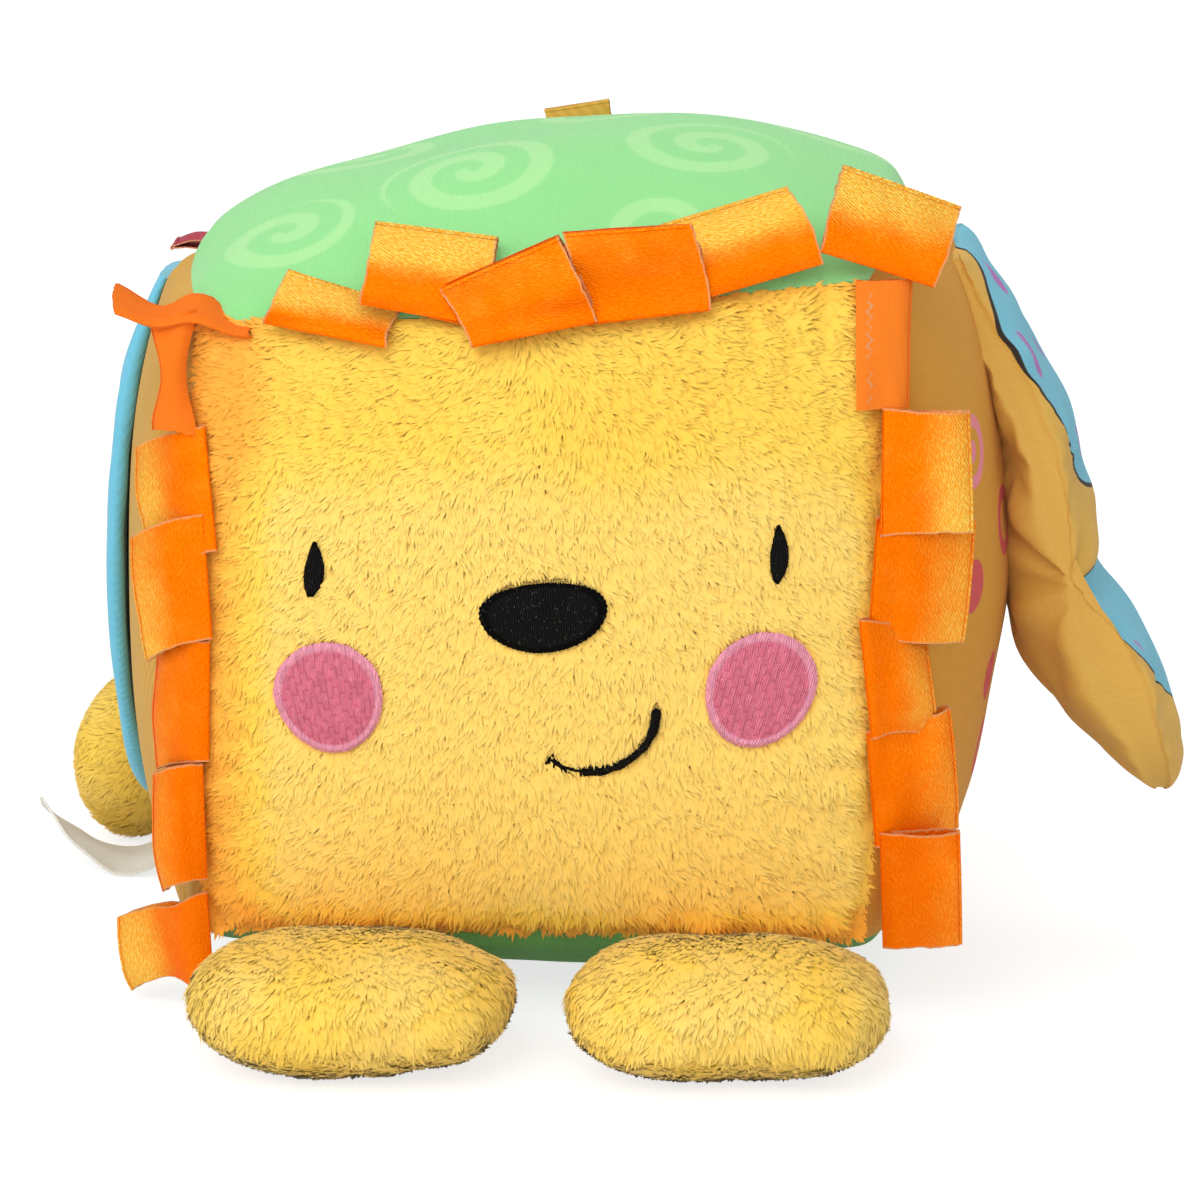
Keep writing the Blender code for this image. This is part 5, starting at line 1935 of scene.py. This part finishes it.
@dataclass
class Label:
    """The blank cloth label at the rear left, lying low and curled up at its end."""

    width: float = 0.018
    length: float = 0.042
    thickness: float = 0.0006
    place: float = 0.038
    turn: float = 3.0
    curl: float = 0.013

    def build(self) -> None:
        """Makes the label."""
        cube = (-1.0, self.place / BLOCK.half[1], -1.0)
        across = BLOCK.seam_direction(cube, 1)
        root = BLOCK.place(*cube) - unit(RIGHT + UP) * 0.0012
        away = turned(-RIGHT, UP, -self.turn)
        piece = flat_grid("blank_tape", 14, 60)
        u, v = corners_of(piece)[:, :2].T
        s = (v + 1) / 2
        fall = (root[2] - 0.0013) * ease(s / 0.55)
        curl = self.curl * np.maximum(0, (s - 0.5) / 0.5) ** 2
        points = root + np.outer(s * self.length, away) + np.outer(u * self.width / 2, across)
        wave = 0.0004 * Ripple(95, 0.012).at(np.stack([u * 0.009, s * self.length, s * 0], axis=1)) * ease(s * 3)
        turned_up = ease((s - 0.40) / 0.40)
        points -= np.outer(u * turned_up * 0.0012, RIGHT)
        points -= np.outer(u * self.width / 2 * 0.45 * ease((s - 0.80) / 0.20), across)
        points[:, 2] = np.maximum(points[:, 2] + curl - u * turned_up * 0.0024 - fall + wave, 0.0009)
        move_corners(piece, points)
        face_outwards(piece, np.tile(UP, (len(points), 1)))
        lay_cloth(piece, np.stack([u * self.width / 2, s * self.length], axis=1))
        finish_with(piece, "SOLIDIFY", thickness=self.thickness, offset=0)
        smooth(piece)
        dress(piece, WHITE_TAPE.material(), Slot.WHITE, "blank_label", "blank_label")


@dataclass
class Studio:
    """The camera at the photograph's angle, the plain floor and the soft lamps."""

    target: tuple[float, float, float] = (0, 0, 0.082)
    azimuth: float = 3.0
    elevation: float = 13.5
    distance: float = 1.20
    lens: float = 172.5
    shift: tuple[float, float] = (0.04, -0.0417)
    lamps: tuple[tuple[str, tuple[float, float, float], float, float], ...] = (
        ("key", (-0.50, -1.20, 1.25), 1.2, 12.5),
        ("front", (0.20, -1.55, 0.80), 1.3, 6.5),
        ("side", (-1.30, -0.80, 0.45), 0.9, 3.2),
        ("top", (0.15, 0.55, 1.45), 0.9, 5.0),
    )

    def camera(self) -> None:
        """Places the camera."""
        turn, rise = math.radians(self.azimuth), math.radians(self.elevation)
        back = Vector((math.sin(turn) * math.cos(rise), -math.cos(turn) * math.cos(rise), math.sin(rise)))
        camera = bpy.data.objects.new("camera", bpy.data.cameras.new("camera"))
        camera.data.sensor_width = 36
        camera.data.lens = self.lens
        camera.data.shift_x, camera.data.shift_y = self.shift
        camera.data.clip_start = 0.01
        camera.location = Vector(self.target) + back * self.distance
        camera.rotation_euler = (-back).to_track_quat("-Z", "Y").to_euler()
        bpy.context.scene.collection.objects.link(camera)
        bpy.context.scene.camera = camera

    def lamp(self, name: str, place: tuple[float, float, float], size: float, power: float) -> None:
        """Adds one soft lamp that looks at the object."""
        light = bpy.data.lights.new(name, "AREA")
        light.shape = "DISK"
        light.size = size
        light.energy = power
        lamp = bpy.data.objects.new(name, light)
        lamp.location = place
        lamp.rotation_euler = (Vector(self.target) - lamp.location).to_track_quat("-Z", "Y").to_euler()
        bpy.context.scene.collection.objects.link(lamp)

    def seen_directly(self, shading: Shading) -> bpy.types.NodeSocket:
        """Returns 1 for rays that show the background itself, and 0 for light on the object."""
        path = shading.add("ShaderNodeLightPath", {})
        seen = shading.calc("MAXIMUM", path.outputs["Is Camera Ray"], path.outputs["Is Glossy Ray"])
        return shading.calc("MAXIMUM", seen, path.outputs["Is Transmission Ray"])

    def floor(self) -> None:
        """Adds the pale floor, white to the camera but for the object's shadow."""
        deselect_all()
        bpy.ops.mesh.primitive_plane_add(size=6)
        floor = bpy.context.object
        floor.name = "floor"
        shading = Shading("pale_floor")
        tree = shading.tree
        plain = shading.add("ShaderNodeBsdfDiffuse", {0: (0.80, 0.80, 0.80, 1)}).outputs[0]
        shaded = shading.add("ShaderNodeBsdfDiffuse", {0: (0.42, 0.42, 0.42, 1)}).outputs[0]
        glow = shading.add("ShaderNodeEmission", {0: (1, 1, 1, 1), 1: 0.74}).outputs[0]
        seen = shading.add("ShaderNodeAddShader", {0: shaded, 1: glow}).outputs[0]
        both = shading.add("ShaderNodeMixShader", {0: self.seen_directly(shading), 1: plain, 2: seen}).outputs[0]
        tree.links.new(both, tree.nodes["Material Output"].inputs[0])
        floor.data.materials.append(shading.material)

    def world(self) -> None:
        """Sets a pale world: white where it shows, and plain soft light on the object."""
        world = bpy.data.worlds.new("studio")
        bpy.context.scene.world = world
        world.use_nodes = True
        tree = world.node_tree
        background = tree.nodes["Background"]
        background.inputs[0].default_value = (1, 1, 1, 1)
        path = tree.nodes.new("ShaderNodeLightPath")
        strength = tree.nodes.new("ShaderNodeMapRange")
        strength.inputs["To Min"].default_value = 0.52
        strength.inputs["To Max"].default_value = 1.0
        tree.links.new(path.outputs["Is Camera Ray"], strength.inputs["Value"])
        tree.links.new(strength.outputs[0], background.inputs[1])

    def build(self) -> None:
        """Sets up the whole studio."""
        self.camera()
        self.floor()
        self.world()
        for lamp in self.lamps:
            self.lamp(*lamp)
        bpy.context.scene.view_settings.view_transform = "Standard"


def main() -> None:
    """Builds the block piece by piece."""
    logging.basicConfig(level=logging.INFO, format="%(message)s")
    Studio().build()
    cover = Cover()
    backing = cover.build()
    stitching = FaceStitching()
    Face().build(cover, backing, stitching)
    stitching.build()
    ribbon = Ribbon()
    Mane().build(ribbon)
    RearTabs().build(ribbon)
    ribbon.discard()
    Foot(-1).build()
    Foot(1).build()
    Tail().build()
    Wing().build()
    Pad().build()
    Label().build()


if __name__ == "__main__":
    main()
